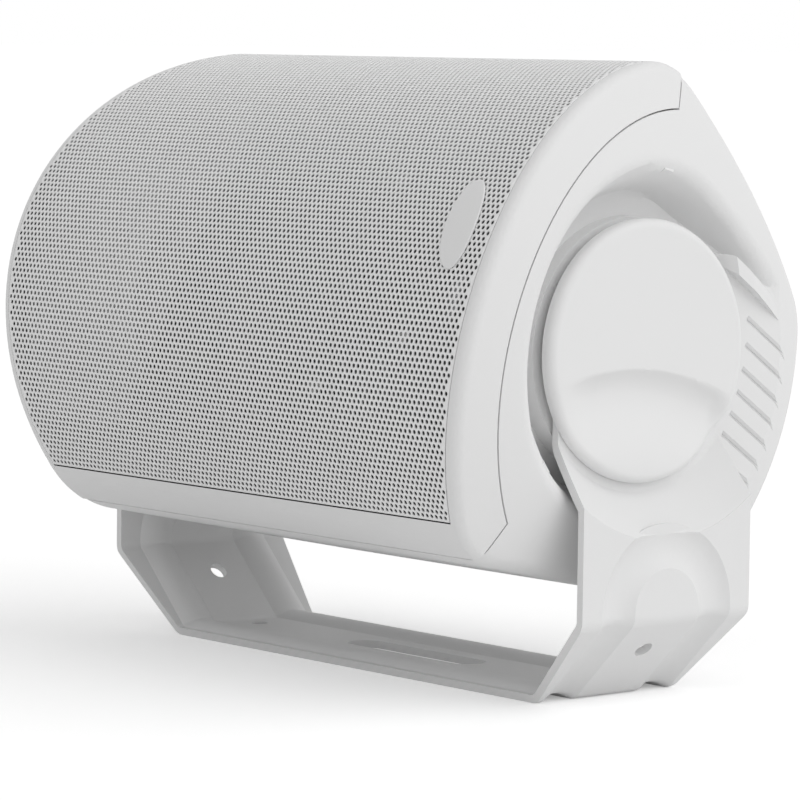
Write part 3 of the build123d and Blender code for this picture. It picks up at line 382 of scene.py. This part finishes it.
FINISHES = {
    "white_powder_coat": dict(rough=0.55, grain=1500.0, depth=0.06, tone=0.02, gloss=0.35),
    "white_plastic": dict(rough=0.55, grain=2200.0, depth=0.04, tone=0.015, gloss=0.4),
    "white_grille": dict(rough=0.6, grain=2500.0, depth=0.05, tone=0.02, gloss=0.35),
    "badge_face": dict(rough=0.4, grain=2500.0, depth=0.02, tone=0.01, coat=0.1),
    # black_plastic also paints the bezel black behind the grille, as painted shade that makes the holes
    # look dark
    "black_plastic": dict(base=(0.012, 0.012, 0.013), rough=0.55, grain=1300.0, depth=0.2, tone=0.2),
    "black_rubber": dict(base=(0.014, 0.014, 0.015), rough=0.7, grain=1800.0, depth=0.15, tone=0.2),
    "zinc_steel": dict(base=(0.62, 0.62, 0.60), rough=0.34, metal=1.0, grain=1600.0, depth=0.08, tone=0.12),
    "basket_steel": dict(base=(0.02, 0.02, 0.022), rough=0.42, grain=1500.0, depth=0.2, tone=0.2),
    "cone_polymer": dict(base=(0.03, 0.03, 0.033), rough=0.5, grain=1400.0, depth=0.25, tone=0.25),
    "spider_cloth": dict(base=(0.46, 0.32, 0.13), rough=0.85, grain=2600.0, depth=0.6, tone=0.25),
    "copper": dict(base=(0.78, 0.36, 0.18), rough=0.3, metal=1.0, grain=1800.0, depth=0.1, tone=0.15),
    "ferrite": dict(base=(0.035, 0.035, 0.038), rough=0.6, grain=1400.0, depth=0.3, tone=0.25),
    "dome_metal": dict(base=(0.72, 0.72, 0.74), rough=0.3, metal=1.0, grain=2600.0, depth=0.05, tone=0.05),
    "board_green": dict(base=(0.02, 0.15, 0.05), rough=0.35, grain=1500.0, depth=0.1, tone=0.2),
    "capacitor_skin": dict(base=(0.04, 0.06, 0.26), rough=0.3, grain=1500.0, depth=0.04, tone=0.1),
    "resistor_ceramic": dict(base=(0.74, 0.72, 0.66), rough=0.7, grain=1800.0, depth=0.3, tone=0.1),
    "gold_brass": dict(base=(0.88, 0.66, 0.28), rough=0.28, metal=1.0, grain=1800.0, depth=0.06, tone=0.08),
    "red_plastic": dict(base=(0.48, 0.012, 0.012), rough=0.3, grain=1500.0, depth=0.05, tone=0.08),
    "black_gloss": dict(base=(0.012, 0.012, 0.012), rough=0.3, grain=1500.0, depth=0.05, tone=0.1),
}


def slot_of(node):
    """The record's material slot of a CAD node."""
    for entry in frame["record"]["subparts"]:
        if entry["node"] == node:
            return entry["material_slot"]
    raise RuntimeError(f"the record has no sub-part named {node}")


def body_of(node):
    """The CAD body that a node belongs to."""
    for body, members in frame["record"]["behaviour"]["bodies"].items():
        if node in members:
            return body
    raise RuntimeError(f"no body holds {node}")


def material_of(slot):
    """The material that shows one of the record's slots, in the chosen colour where there is a choice."""
    finish = dict(FINISHES[slot])
    if "base" not in finish:
        finish["base"] = tuple(getattr(bpy.context.scene.patio_colours, slot))
    return finish_material("patio_" + slot, **finish)


def place_piece(obj, node):
    """Puts a new piece in the scene in the place of a CAD node."""
    bpy.context.scene.collection.objects.link(obj)
    slot = slot_of(node)
    obj.data.materials.clear()
    obj.data.materials.append(material_of(slot))
    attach(obj, body_of(node))
    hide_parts(node)


WELD = 1e-6
FLAT_TURN = math.radians(0.1)
FLAT_AREA = 1e-4
CREASE = math.radians(2.0)
SMOOTH_TURN = math.radians(30.0)
SHARP_TURN = math.radians(40.0)


def flat_areas(work):
    """For each face of a mesh, the area of the flat patch that it is part of."""
    areas = {}
    for seed in work.faces:
        if seed in areas:
            continue
        patch, queue = {seed}, [seed]
        while queue:
            face = queue.pop()
            for edge in face.edges:
                for other in edge.link_faces:
                    if other in patch or other in areas:
                        continue
                    if seed.normal.angle(other.normal, math.pi) < FLAT_TURN:
                        patch.add(other)
                        queue.append(other)
        area = sum(face.calc_area() for face in patch)
        areas.update(dict.fromkeys(patch, area))
    return areas


def join_facets(work):
    """Joins the corners of a working mesh that lie in one place."""
    bmesh.ops.remove_doubles(work, verts=work.verts, dist=WELD)
    bmesh.ops.dissolve_degenerate(work, edges=work.edges, dist=WELD)


def face_outward(mesh):
    """Turns the faces of a closed mesh outward."""
    work = bmesh.new()
    work.from_mesh(mesh)
    bmesh.ops.recalc_face_normals(work, faces=work.faces)
    work.to_mesh(mesh)
    work.free()
    return mesh


def mesh_of(name, *meshes, weld=False):
    """One mesh that holds copies of others, with its facets joined where that is asked for."""
    work = bmesh.new()
    for mesh in meshes:
        work.from_mesh(mesh)
    if weld:
        join_facets(work)
    whole = bpy.data.meshes.new(name)
    work.to_mesh(whole)
    work.free()
    return whole


def combined(mesh, tool_mesh, operation):
    """A copy of a mesh with another form joined to it or taken out of it."""
    body = bpy.data.objects.new("whole", mesh)
    tool = bpy.data.objects.new("tool", tool_mesh)
    for obj in (body, tool):
        bpy.context.scene.collection.objects.link(obj)
    join = body.modifiers.new("combine", "BOOLEAN")
    join.operation = operation
    join.solver = "MANIFOLD"
    join.object = tool
    result = bpy.data.meshes.new_from_object(body.evaluated_get(bpy.context.evaluated_depsgraph_get()))
    for obj in (body, tool):
        bpy.data.objects.remove(obj)
    if not len(mesh.polygons) < len(result.polygons) < 2 * len(mesh.polygons):
        raise RuntimeError("the two forms did not combine")
    return result


def smooth_piece(node, source=None):
    """A copy of a CAD node, shown in its place, with smooth curves, flat faces and crisp creases."""
    work = bmesh.new()
    work.from_mesh(source or mesh_of(node, frame["nodes"][node].data, weld=True))
    work.normal_update()
    areas = flat_areas(work)
    for face in work.faces:
        face.smooth = True
    for edge in work.edges:
        turn = edge.calc_face_angle(math.pi)
        crease = turn > CREASE and all(areas[face] > FLAT_AREA for face in edge.link_faces)
        edge.smooth = turn < SMOOTH_TURN and not crease
    mesh = bpy.data.meshes.new(node + "_look")
    work.to_mesh(mesh)
    work.free()
    if "custom_normal" in mesh.attributes:
        mesh.attributes.remove(mesh.attributes["custom_normal"])
    obj = bpy.data.objects.new(node + "_look", mesh)
    shading = obj.modifiers.new("even_shading", "WEIGHTED_NORMAL")
    shading.keep_sharp = True
    place_piece(obj, node)
    return obj


def cabinet_axes(settings):
    """Pivot, back and up directions of the tilted cabinet."""
    tilt = settings.tilt
    return (np.array((0.0, 0.0, settings.pivot_height)),
            np.array((0.0, math.cos(tilt), -math.sin(tilt))),
            np.array((0.0, math.sin(tilt), math.cos(tilt))))


def end_at(settings, back, up, inset):
    """Half length of the cabinet, drawn in by inset, at places on its section."""
    crown = settings.end_crown_radius - inset
    hub = settings.end_reach - settings.end_plan_radius
    radius = settings.end_reach - inset + np.sqrt(crown**2 - up**2) - crown - hub
    return hub + np.sqrt(radius**2 - (back - settings.end_plan_back) ** 2)


def front_section(settings, arc, radius):
    """Back and up places on the front's arc, from the distance along the arc."""
    angle = arc / settings.front_radius
    return settings.front_centre - radius * np.cos(angle), radius * np.sin(angle)


def front_point(settings, x, arc, radius):
    """Points of the curved front from their distance along the cabinet and along the arc."""
    pivot, back, up = cabinet_axes(settings)
    b, u = front_section(settings, arc, radius)
    outer = np.multiply.outer
    return pivot + outer(x, (1.0, 0.0, 0.0)) + outer(b, back) + outer(u, up)


def mesh_from(name, points, *face_sets):
    """A mesh from points and arrays of faces, each array with its own number of corners."""
    mesh = bpy.data.meshes.new(name)
    mesh.vertices.add(len(points))
    mesh.vertices.foreach_set("co", np.asarray(points, np.float32).ravel())
    corners = np.concatenate([np.asarray(faces, np.int32).ravel() for faces in face_sets])
    counts = np.concatenate([np.full(len(faces), np.shape(faces)[1]) for faces in face_sets])
    mesh.loops.add(len(corners))
    mesh.loops.foreach_set("vertex_index", corners)
    mesh.polygons.add(len(counts))
    mesh.polygons.foreach_set("loop_start", (np.cumsum(counts) - counts).astype(np.int32))
    mesh.update(calc_edges=True)
    mesh.validate()
    return mesh


CELL_CORNERS = np.array(((1, 1), (0, 2), (-1, 1), (-1, -1), (0, -2), (1, -1)))
HOLE_SIDES = 12
HOLE_TURNS = np.radians(360.0 / HOLE_SIDES * (np.arange(HOLE_SIDES) + 1))
LEAST_HOLES = 1000


def sheet_half_length(cabinet, grille, arc):
    """Half length of the sheet at a distance along the arc."""
    return end_at(cabinet, *front_section(cabinet, arc, cabinet.front_radius), grille.rim)


def sheet_cells(cabinet, grille):
    """Column and row of every six-sided cell of the sheet, and whether its hole fits."""
    limit = cabinet.front_radius * math.asin(grille.half_height / cabinet.front_radius)
    half, row = grille.pitch / 2, grille.pitch * math.sqrt(3) / 2
    rows = int(limit / row) + 2
    columns = int(cabinet.end_reach / half) + 3
    j, i = np.meshgrid(np.arange(-rows, rows + 1), np.arange(-columns, columns + 1), indexing="ij")
    same = (i + j) % 2 == 0
    i, j = i[same], j[same]
    arc, x = j * row, i * half
    margin = grille.hole / 2 + grille.border
    reach = sheet_half_length(cabinet, grille, np.clip(arc, -limit, limit))
    near = (np.abs(arc) < limit + row / 2) & (np.abs(x) < reach + half)
    fits = (np.abs(arc) + margin < limit) & (np.abs(x) + margin < reach)
    return i[near], j[near], fits[near], limit


def sheet_strip(name, cabinet, grille, cells, limit):
    """One closed strip of the perforated sheet."""
    i, j, fits = cells
    half, row = grille.pitch / 2, grille.pitch * math.sqrt(3) / 2
    keys = np.stack([i, 3 * j], 1)[:, None, :] + CELL_CORNERS
    corners, at = np.unique(keys.reshape(-1, 2), axis=0, return_inverse=True)
    at = at.reshape(-1, 6)
    arc = np.clip(corners[:, 1] * row / 3, -limit, limit)
    reach = sheet_half_length(cabinet, grille, arc)
    x = np.clip(corners[:, 0] * half, -reach, reach)
    centre_x, centre_arc = i[fits] * half, j[fits] * row
    hole_x = (centre_x[:, None] + grille.hole / 2 * np.cos(HOLE_TURNS)).ravel()
    hole_arc = (centre_arc[:, None] + grille.hole / 2 * np.sin(HOLE_TURNS)).ravel()
    x, arc = np.concatenate([x, hole_x]), np.concatenate([arc, hole_arc])
    outer = front_point(cabinet, x, arc, cabinet.front_radius)
    inner = front_point(cabinet, x, arc, cabinet.front_radius - grille.thickness)
    below = len(x)
    ring = len(corners) + np.arange(HOLE_SIDES * int(fits.sum())).reshape(-1, HOLE_SIDES)
    cell, after = at[fits], np.roll(at[fits], -1, axis=1)
    pentagons = np.stack([cell, after, np.roll(ring, -2, axis=1)[:, ::2], np.roll(ring, -1, axis=1)[:, ::2],
                          ring[:, ::2]], 2).reshape(-1, 5)
    blanks = at[~fits]
    walls = np.stack([ring, np.roll(ring, -1, axis=1), np.roll(ring, -1, axis=1) + below, ring + below], 2)
    sides = np.stack([at, np.roll(at, -1, axis=1)], 2).reshape(-1, 2)
    paired = set(map(tuple, sides[:, ::-1].tolist()))
    edge = np.array([pair for pair in sides.tolist() if tuple(pair) not in paired])
    band = np.stack([edge[:, 1], edge[:, 0], edge[:, 0] + below, edge[:, 1] + below], 1)
    faces = [pentagons, pentagons[:, ::-1] + below, walls.reshape(-1, 4), band]
    if len(blanks):
        faces += [blanks, blanks[:, ::-1] + below]
    mesh = mesh_from(name, np.concatenate([outer, inner]), *faces)
    work = bmesh.new()
    work.from_mesh(mesh)
    join_facets(work)
    work.to_mesh(mesh)
    work.free()
    return mesh


class PATIO_OT_grille(bpy.types.Operator):
    """Builds the perforated grille sheet in strips"""

    bl_idname = "patio.grille"
    bl_label = "Grille"

    def execute(self, context):
        cabinet = context.scene.patio_cabinet
        grille = context.scene.patio_grille
        i, j, fits, limit = sheet_cells(cabinet, grille)
        if fits.sum() < LEAST_HOLES:
            raise RuntimeError("the grille has too few holes")
        order = np.argsort(i, kind="stable")
        for number, chosen in enumerate(np.array_split(order, grille.strips)):
            name = f"grille_sheet_{number}"
            mesh = sheet_strip(name, cabinet, grille, (i[chosen], j[chosen], fits[chosen]), limit)
            place_piece(bpy.data.objects.new(name, mesh), "grille")
        return {"FINISHED"}


def ring_mesh(name, rings, first, last):
    """A closed smooth mesh from rings of points and a point at each end."""
    count, sides = len(rings), len(rings[0])
    points = np.concatenate([np.reshape(rings, (-1, 3)), [first, last]])
    at = np.arange(count * sides).reshape(count, sides)
    after = np.roll(at, -1, axis=1)
    quads = np.stack([at[:-1], at[1:], after[1:], after[:-1]], 2).reshape(-1, 4)
    tip, foot = np.full(sides, count * sides), np.full(sides, count * sides + 1)
    caps = (np.stack([tip, at[0], after[0]], 1), np.stack([foot, after[-1], at[-1]], 1))
    mesh = face_outward(mesh_from(name, points, quads, *caps))
    mesh.shade_smooth()
    mesh.set_sharp_from_angle(angle=SHARP_TURN)
    return mesh


BADGE_SIDES = 96
BADGE_FACE = np.linspace(0.1, 1.0, 10)
BADGE_EDGE = np.linspace(0.0, math.pi / 2, 7)[1:]


class PATIO_OT_badge(bpy.types.Operator):
    """Builds the bare oval plate on the grille"""

    bl_idname = "patio.badge"
    bl_label = "Badge"

    def execute(self, context):
        cabinet, badge = context.scene.patio_cabinet, context.scene.patio_badge
        turn = np.linspace(0.0, 2 * np.pi, BADGE_SIDES, endpoint=False)
        dome = badge.edge / 3
        flat = badge.height - dome
        outline = [(share, flat + dome * (1 - share**2), 0.0) for share in BADGE_FACE]
        outline += [(1.0, flat - badge.edge * (1 - math.cos(t)), badge.edge * math.sin(t))
                    for t in BADGE_EDGE]
        gap = badge.height / 3
        outline += [(1.0, gap, badge.edge), (1.0, gap, -badge.edge), (1.0, 0.0, -badge.edge)]

        def place(wide, tall, height):
            x = badge.along + wide * math.cos(badge.lean) - tall * math.sin(badge.lean)
            arc = badge.arc + wide * math.sin(badge.lean) + tall * math.cos(badge.lean)
            return front_point(cabinet, x, arc, cabinet.front_radius + height)

        rings = [place((share * (badge.half_width - badge.edge) + out) * np.cos(turn),
                       (share * (badge.half_length - badge.edge) + out) * np.sin(turn), height)
                 for share, height, out in outline]
        centre = np.zeros(1)
        top, foot = (place(centre, centre, height)[0] for height in (badge.height, 0.0))
        mesh = ring_mesh("badge_plate", rings, top, foot)
        place_piece(bpy.data.objects.new("badge_plate", mesh), "badge")
        return {"FINISHED"}


def behind_sheet(cabinet, grille, point):
    """Whether a point of the bezel lies behind the perforated sheet, where the bezel gets black painted
    shade.
    """
    pivot, back, up = cabinet_axes(cabinet)
    away = np.array(point) - pivot
    b, u = away @ back, away @ up
    radius = math.hypot(b - cabinet.front_centre, u)
    if b > 0 or abs(u) > grille.half_height or radius > cabinet.front_radius - grille.thickness / 2:
        return False
    return abs(point[0]) < end_at(cabinet, b, u, grille.rim)


def eased(value):
    """A smooth step from 0 to 1."""
    value = np.clip(value, 0.0, 1.0)
    return value * value * (3.0 - 2.0 * value)


SLOPE_POINTS = 13
SLOPE_STRAIGHT = np.linspace(0.99, 0.1, 8)
SLOPE_TURNS = 100
SLOPE_MARGIN = 0.01


def recess_slope(cabinet, recess, side):
    """A hollow slope from the recess wall to the foot of the boss, where the arm never reaches."""
    pivot, back, up = cabinet_axes(cabinet)
    share = np.linspace(0.0, 1.0, SLOPE_POINTS)
    low = recess.floor - recess.root
    wall = recess.radius + recess.root + math.tan(recess.flare) * recess.rise
    inner = recess.boss - recess.root
    corner = recess.radius + recess.root
    root = np.stack([np.interp(share, (0.0, 0.5, 1.0), (inner, corner, wall)),
                     np.interp(share, (0.0, 0.5, 1.0), (low, low, recess.floor + recess.rise))], 1)
    hollow = recess.sag * np.sin(np.pi * share)
    slope = np.stack([inner + (wall - inner) * share + hollow,
                      recess.floor + recess.foot + (recess.rise - recess.foot) * share - hollow], 1)
    turns = np.linspace(math.pi / 2, recess.end - SLOPE_MARGIN, SLOPE_TURNS)
    stations = [(along, math.pi / 2) for along in SLOPE_STRAIGHT * recess.start]
    stations += [(0.0, angle) for angle in turns]

    def place(along, angle, section):
        b = along + section[:, 0] * math.cos(angle)
        u = section[:, 0] * math.sin(angle)
        x = side * section[:, 1]
        return pivot + np.outer(x, (1.0, 0.0, 0.0)) + np.outer(b, back) + np.outer(u, up)

    rings = []
    for along, angle in stations:
        passed = recess.start - along + recess.radius * (angle - math.pi / 2)
        full = eased(passed / recess.lead) * eased((recess.end - angle) / recess.fade)
        rings.append(place(along, angle, np.concatenate([root, (root + full * (slope - root))[::-1]])))
    buried = np.array([(corner + recess.root / 3, low - recess.root / 3)])
    first, last = (place(*stations[number], buried)[0] for number in (0, -1))
    return ring_mesh("recess_slope", rings, first, last)


def groove_cutters(cabinet, grooves):
    """Wedges that cut the sloping grooves beside both knobs."""
    pivot, back, up = cabinet_axes(cabinet)
    points, faces = [], []
    clear = 2 * grooves.depth
    section = ((grooves.above, 0.0), (-grooves.below, -grooves.depth), (-grooves.below, clear),
               (grooves.above, clear))
    quads = [(0, 1, 2, 3), (7, 6, 5, 4)]
    quads += [(i, i + 4, (i + 1) % 4 + 4, (i + 1) % 4) for i in range(4)]
    for side in (1, -1):
        for number in range(grooves.count):
            u = (number - (grooves.count - 1) / 2) * grooves.pitch
            first = len(points)
            for b in (math.sqrt(grooves.start**2 - u**2), grooves.end):
                field = grooves.field - b * math.tan(grooves.slope)
                points += [pivot + (side * (field + out), 0.0, 0.0) + b * back + (u + rise) * up
                           for rise, out in section]
            faces += [[first + i for i in quad[::side]] for quad in quads]
    return face_outward(mesh_from("groove_cutters", points, faces))


class PATIO_OT_cabinet(bpy.types.Operator):
    """Shows the moulded shell and the bezel, with painted shade: black where the bezel lies behind the
    grille
    """

    bl_idname = "patio.cabinet"
    bl_label = "Cabinet"

    def execute(self, context):
        scene = context.scene
        cabinet = scene.patio_cabinet
        shell = mesh_of("rear_shell", frame["nodes"]["rear_shell"].data, weld=True)
        shell = combined(shell, groove_cutters(cabinet, scene.patio_grooves), "DIFFERENCE")
        slopes = [recess_slope(cabinet, scene.patio_recess, side) for side in (1, -1)]
        shell = combined(shell, mesh_of("slopes", *slopes), "UNION")
        smooth_piece("rear_shell", source=shell)
        bezel = smooth_piece("front_bezel")
        # painted shade: the bezel's faces behind the grille are made black so the holes in the sheet show
        # dark
        bezel.data.materials.append(material_of("black_plastic"))
        for face in bezel.data.polygons:
            face.material_index = int(behind_sheet(cabinet, scene.patio_grille, face.center))
        return {"FINISHED"}


class PATIO_OT_bracket(bpy.types.Operator):
    """Shows the folded bracket"""

    bl_idname = "patio.bracket"
    bl_label = "Bracket"

    def execute(self, context):
        smooth_piece("bracket")
        return {"FINISHED"}


KNOB_SIDES = 192
KNOB_RINGS = 60
KNOB_SHOULDER = np.linspace(0.0, math.pi / 2, 9)[1:]
SCOOP_LEFT, SCOOP_LEFT_RUN = 0.92, 0.45
SCOOP_RIGHT, SCOOP_RIGHT_RUN = 0.94, 0.2


def scoop_at(knob, y, z):
    """Depth of the soft finger scoop at places on the knob's face."""
    across = math.cos(knob.turn) * y + math.sin(knob.turn) * z
    up = math.cos(knob.turn) * z - math.sin(knob.turn) * y
    edge = np.sqrt(knob.scoop_radius**2 - across**2) - knob.scoop_radius - knob.scoop_drop
    below = edge - up
    into = 1.0 - (1.0 - np.clip(below / knob.scoop_reach, 0.0, 1.0)) ** 2
    into = into * (1.0 - eased((below - knob.scoop_reach) / knob.scoop_run))
    left = eased((across + SCOOP_LEFT * knob.radius) / (SCOOP_LEFT_RUN * knob.radius))
    right = eased((SCOOP_RIGHT * knob.radius - across) / (SCOOP_RIGHT_RUN * knob.radius))
    return knob.scoop_depth * into * left * right


def knob_mesh(name, cabinet, knob, sign):
    """A turned knob with a soft scoop in its face."""
    turn = np.linspace(0.0, 2 * np.pi, KNOB_SIDES, endpoint=False)
    flat = knob.radius - knob.shoulder
    outline = [(r, knob.face) for r in np.linspace(0.0, flat, KNOB_RINGS)[1:]]
    outline += [(flat + knob.shoulder * math.sin(t), knob.face - knob.shoulder * (1 - math.cos(t)))
                for t in KNOB_SHOULDER]
    scooped = len(outline)
    outline += [(knob.radius, knob.under), (knob.hub_radius, knob.under), (knob.hub_radius, knob.hub_end),
                (knob.stud_radius, knob.hub_end), (knob.stud_radius, knob.stud_end)]
    rings = []
    for number, (radius, x) in enumerate(outline):
        y, z = radius * np.cos(turn), radius * np.sin(turn)
        depth = scoop_at(knob, y, z) if number < scooped else np.zeros(KNOB_SIDES)
        rings.append(np.stack([sign * (x - depth), y, z + cabinet.pivot_height], 1))
    face = (sign * (knob.face - float(scoop_at(knob, 0.0, 0.0))), 0.0, cabinet.pivot_height)
    foot = (sign * knob.stud_end, 0.0, cabinet.pivot_height)
    return ring_mesh(name, rings, face, foot)


class PATIO_OT_knobs(bpy.types.Operator):
    """Shows the clamp knobs with their studs, inserts and washers"""

    bl_idname = "patio.knobs"
    bl_label = "Clamp knobs"

    def execute(self, context):
        for side, sign in (("left", -1), ("right", 1)):
            name = "knob_" + side
            mesh = knob_mesh(name + "_look", context.scene.patio_cabinet, context.scene.patio_knobs, sign)
            place_piece(bpy.data.objects.new(name + "_look", mesh), name)
            for node in ("stud_", "insert_", "washer_"):
                smooth_piece(node + side)
        return {"FINISHED"}


def leave_room(obj, node, cabinet, reach, widen, sink):
    """Draws the inner edge of a ring back from what travels through it."""
    _, back, _ = cabinet_axes(cabinet)
    centre = np.mean(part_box(node), axis=0)
    points = np.empty(3 * len(obj.data.vertices))
    obj.data.vertices.foreach_get("co", points)
    points = points.reshape(-1, 3)
    away = points - centre
    radial = away - np.outer(away @ back, back)
    radius = np.linalg.norm(radial, axis=1, keepdims=True)
    share = np.clip((radius.min() + reach - radius) / reach, 0.0, 1.0)
    points += share * (widen * radial / radius + sink * back)
    obj.data.vertices.foreach_set("co", points.ravel())
    obj.data.update()


class PATIO_OT_drivers(bpy.types.Operator):
    """Shows the baffle, the woofer and the tweeter"""

    bl_idname = "patio.drivers"
    bl_label = "Drivers"

    def execute(self, context):
        scene, shown = context.scene, {}
        drivers = scene.patio_drivers
        for node in list(frame["nodes"]):
            if node.startswith(("woofer_", "tweeter_", "baffle", "case_")):
                shown[node] = smooth_piece(node)
        leave_room(shown["woofer_spider"], "woofer_spider", scene.patio_cabinet, drivers.ring_reach,
                   0.0, drivers.spider_sink)
        leave_room(shown["tweeter_surround"], "tweeter_surround", scene.patio_cabinet, drivers.ring_reach,
                   drivers.dome_room, 0.0)
        return {"FINISHED"}


class PATIO_OT_electrics(bpy.types.Operator):
    """Shows the crossover and the terminals"""

    bl_idname = "patio.electrics"
    bl_label = "Crossover and terminals"

    def execute(self, context):
        for node in ("crossover_board", "board_screws", "inductor", "capacitors", "resistor",
                     "terminal_cup", "cup_screws", "post_red", "post_black", "nut_red", "nut_black"):
            smooth_piece(node)
        return {"FINISHED"}


FLOOR_COLOUR = (0.95, 0.95, 0.95, 1.0)
FLOOR_ROUGHNESS = 0.9
FLOOR_REACH = 60.0
WHITE = (1.0, 1.0, 1.0, 1.0)
KEY_FROM = (0.8, 0.5, 0.85)
SIDE_FROM = (1.0, -0.1, 0.35)
LAMP_SPREAD = 60.0
SENSOR_WIDTH = 36.0
CAMERA_REACH = 200.0


def seen_directly(nodes, links):
    """A value that is 1 where the camera sees a surface straight, in a mirror or through glass."""
    path = nodes.new("ShaderNodeLightPath")
    either = nodes.new("ShaderNodeMath")
    either.operation = "MAXIMUM"
    links.new(path.outputs["Is Camera Ray"], either.inputs[0])
    links.new(path.outputs["Is Glossy Ray"], either.inputs[1])
    seen = nodes.new("ShaderNodeMath")
    seen.operation = "MAXIMUM"
    links.new(either.outputs[0], seen.inputs[0])
    links.new(path.outputs["Is Transmission Ray"], seen.inputs[1])
    return seen.outputs[0]


def stage_floor(scene, glow):
    """A pale floor that keeps the object's shadow and looks white beyond it."""
    material = bpy.data.materials.new("stage_floor")
    material.use_nodes = True
    nodes, links = material.node_tree.nodes, material.node_tree.links
    shader = nodes["Principled BSDF"]
    shader.inputs["Base Color"].default_value = FLOOR_COLOUR
    shader.inputs["Roughness"].default_value = FLOOR_ROUGHNESS
    shader.inputs["Specular IOR Level"].default_value = 0.0
    shader.inputs["Emission Color"].default_value = WHITE
    strength = nodes.new("ShaderNodeMath")
    strength.operation = "MULTIPLY"
    strength.inputs[1].default_value = glow
    links.new(seen_directly(nodes, links), strength.inputs[0])
    links.new(strength.outputs[0], shader.inputs["Emission Strength"])
    corners = [(x * FLOOR_REACH, y * FLOOR_REACH, 0.0) for x, y in ((-1, -1), (1, -1), (1, 1), (-1, 1))]
    mesh = mesh_from("stage_floor", corners, [(0, 1, 2, 3)])
    mesh.materials.append(material)
    floor = bpy.data.objects.new("stage_floor", mesh)
    scene.collection.objects.link(floor)


def stage_sky(scene, strength):
    """Even light from all round, with a white backdrop."""
    world = bpy.data.worlds.new("stage_sky")
    world.use_nodes = True
    nodes, links = world.node_tree.nodes, world.node_tree.links
    sky = nodes["Background"]
    sky.inputs["Color"].default_value = WHITE
    level = nodes.new("ShaderNodeMapRange")
    level.inputs["To Min"].default_value = strength
    level.inputs["To Max"].default_value = 1.0
    links.new(seen_directly(nodes, links), level.inputs["Value"])
    links.new(level.outputs["Result"], sky.inputs["Strength"])
    scene.world = world


def stage_lamp(scene, name, source, spread, power):
    """A distant soft lamp that shines from a direction."""
    lamp = bpy.data.lights.new(name, "SUN")
    lamp.energy = power
    lamp.angle = math.radians(spread)
    obj = bpy.data.objects.new(name, lamp)
    obj.rotation_euler = Vector(source).to_track_quat("Z", "Y").to_euler()
    scene.collection.objects.link(obj)


def stage_camera(scene, stage):
    """The camera at the photograph's viewing angle."""
    camera = bpy.data.cameras.new("stage_camera")
    camera.lens = stage.lens
    camera.sensor_width = SENSOR_WIDTH
    camera.clip_end = CAMERA_REACH
    a, p, roll = stage.azimuth, stage.pitch, stage.roll
    look = Vector((-math.sin(a) * math.cos(p), math.cos(a) * math.cos(p), -math.sin(p)))
    right = Vector((math.cos(a), math.sin(a), 0.0))
    above = right.cross(look)
    axis_x = math.cos(roll) * right + math.sin(roll) * above
    axis_y = -math.sin(roll) * right + math.cos(roll) * above
    eye = bpy.data.objects.new("stage_camera", camera)
    eye.matrix_world = Matrix((axis_x, axis_y, -look)).transposed().to_4x4()
    eye.location = stage.camera_place
    scene.collection.objects.link(eye)
    scene.camera = eye


class PATIO_OT_stage(bpy.types.Operator):
    """Sets up the floor, the light and the camera"""

    bl_idname = "patio.stage"
    bl_label = "Stage"

    def execute(self, context):
        scene = context.scene
        stage = scene.patio_stage
        stage_floor(scene, stage.floor_glow)
        stage_sky(scene, stage.sky)
        stage_lamp(scene, "stage_key", KEY_FROM, LAMP_SPREAD, stage.key_power)
        stage_lamp(scene, "stage_side", SIDE_FROM, LAMP_SPREAD, stage.side_power)
        stage_camera(scene, stage)
        scene.view_settings.view_transform = "Standard"
        return {"FINISHED"}


class PATIO_PT_panel(bpy.types.Panel):
    """Sidebar panel with every step"""

    bl_idname = "PATIO_PT_panel"
    bl_label = "Patio speaker"
    bl_space_type = "VIEW_3D"
    bl_region_type = "UI"
    bl_category = "Patio speaker"

    def draw(self, context):
        for name, group in GROUPS.items():
            box = self.layout.box()
            for setting in group.__annotations__:
                box.prop(getattr(context.scene, name), setting)
        for step in STEPS:
            self.layout.operator(step.bl_idname)


STEPS = (PATIO_OT_cabinet, PATIO_OT_grille, PATIO_OT_badge, PATIO_OT_bracket, PATIO_OT_knobs,
         PATIO_OT_drivers, PATIO_OT_electrics, PATIO_OT_stage)
GROUPS = {
    "patio_cabinet": PatioCabinetSettings,
    "patio_grille": PatioGrilleSettings,
    "patio_badge": PatioBadgeSettings,
    "patio_knobs": PatioKnobSettings,
    "patio_grooves": PatioGrooveSettings,
    "patio_recess": PatioRecessSettings,
    "patio_drivers": PatioDriverSettings,
    "patio_colours": PatioColourSettings,
    "patio_stage": PatioStageSettings,
}


def register():
    """Registers the settings, operators and panel."""
    for cls in (*GROUPS.values(), *STEPS, PATIO_PT_panel):
        bpy.utils.register_class(cls)
    for name, cls in GROUPS.items():
        setattr(bpy.types.Scene, name, PointerProperty(type=cls))


def unregister():
    """Takes back what register set up."""
    for name in GROUPS:
        delattr(bpy.types.Scene, name)
    for cls in reversed((*GROUPS.values(), *STEPS, PATIO_PT_panel)):
        bpy.utils.unregister_class(cls)


def main():
    """Builds every piece and the stage through the operators."""
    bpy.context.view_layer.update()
    register()
    bpy.ops.patio.cabinet()
    bpy.ops.patio.grille()
    bpy.ops.patio.badge()
    bpy.ops.patio.bracket()
    bpy.ops.patio.knobs()
    bpy.ops.patio.drivers()
    bpy.ops.patio.electrics()
    bpy.ops.patio.stage()


if __name__ == "__main__":
    main()
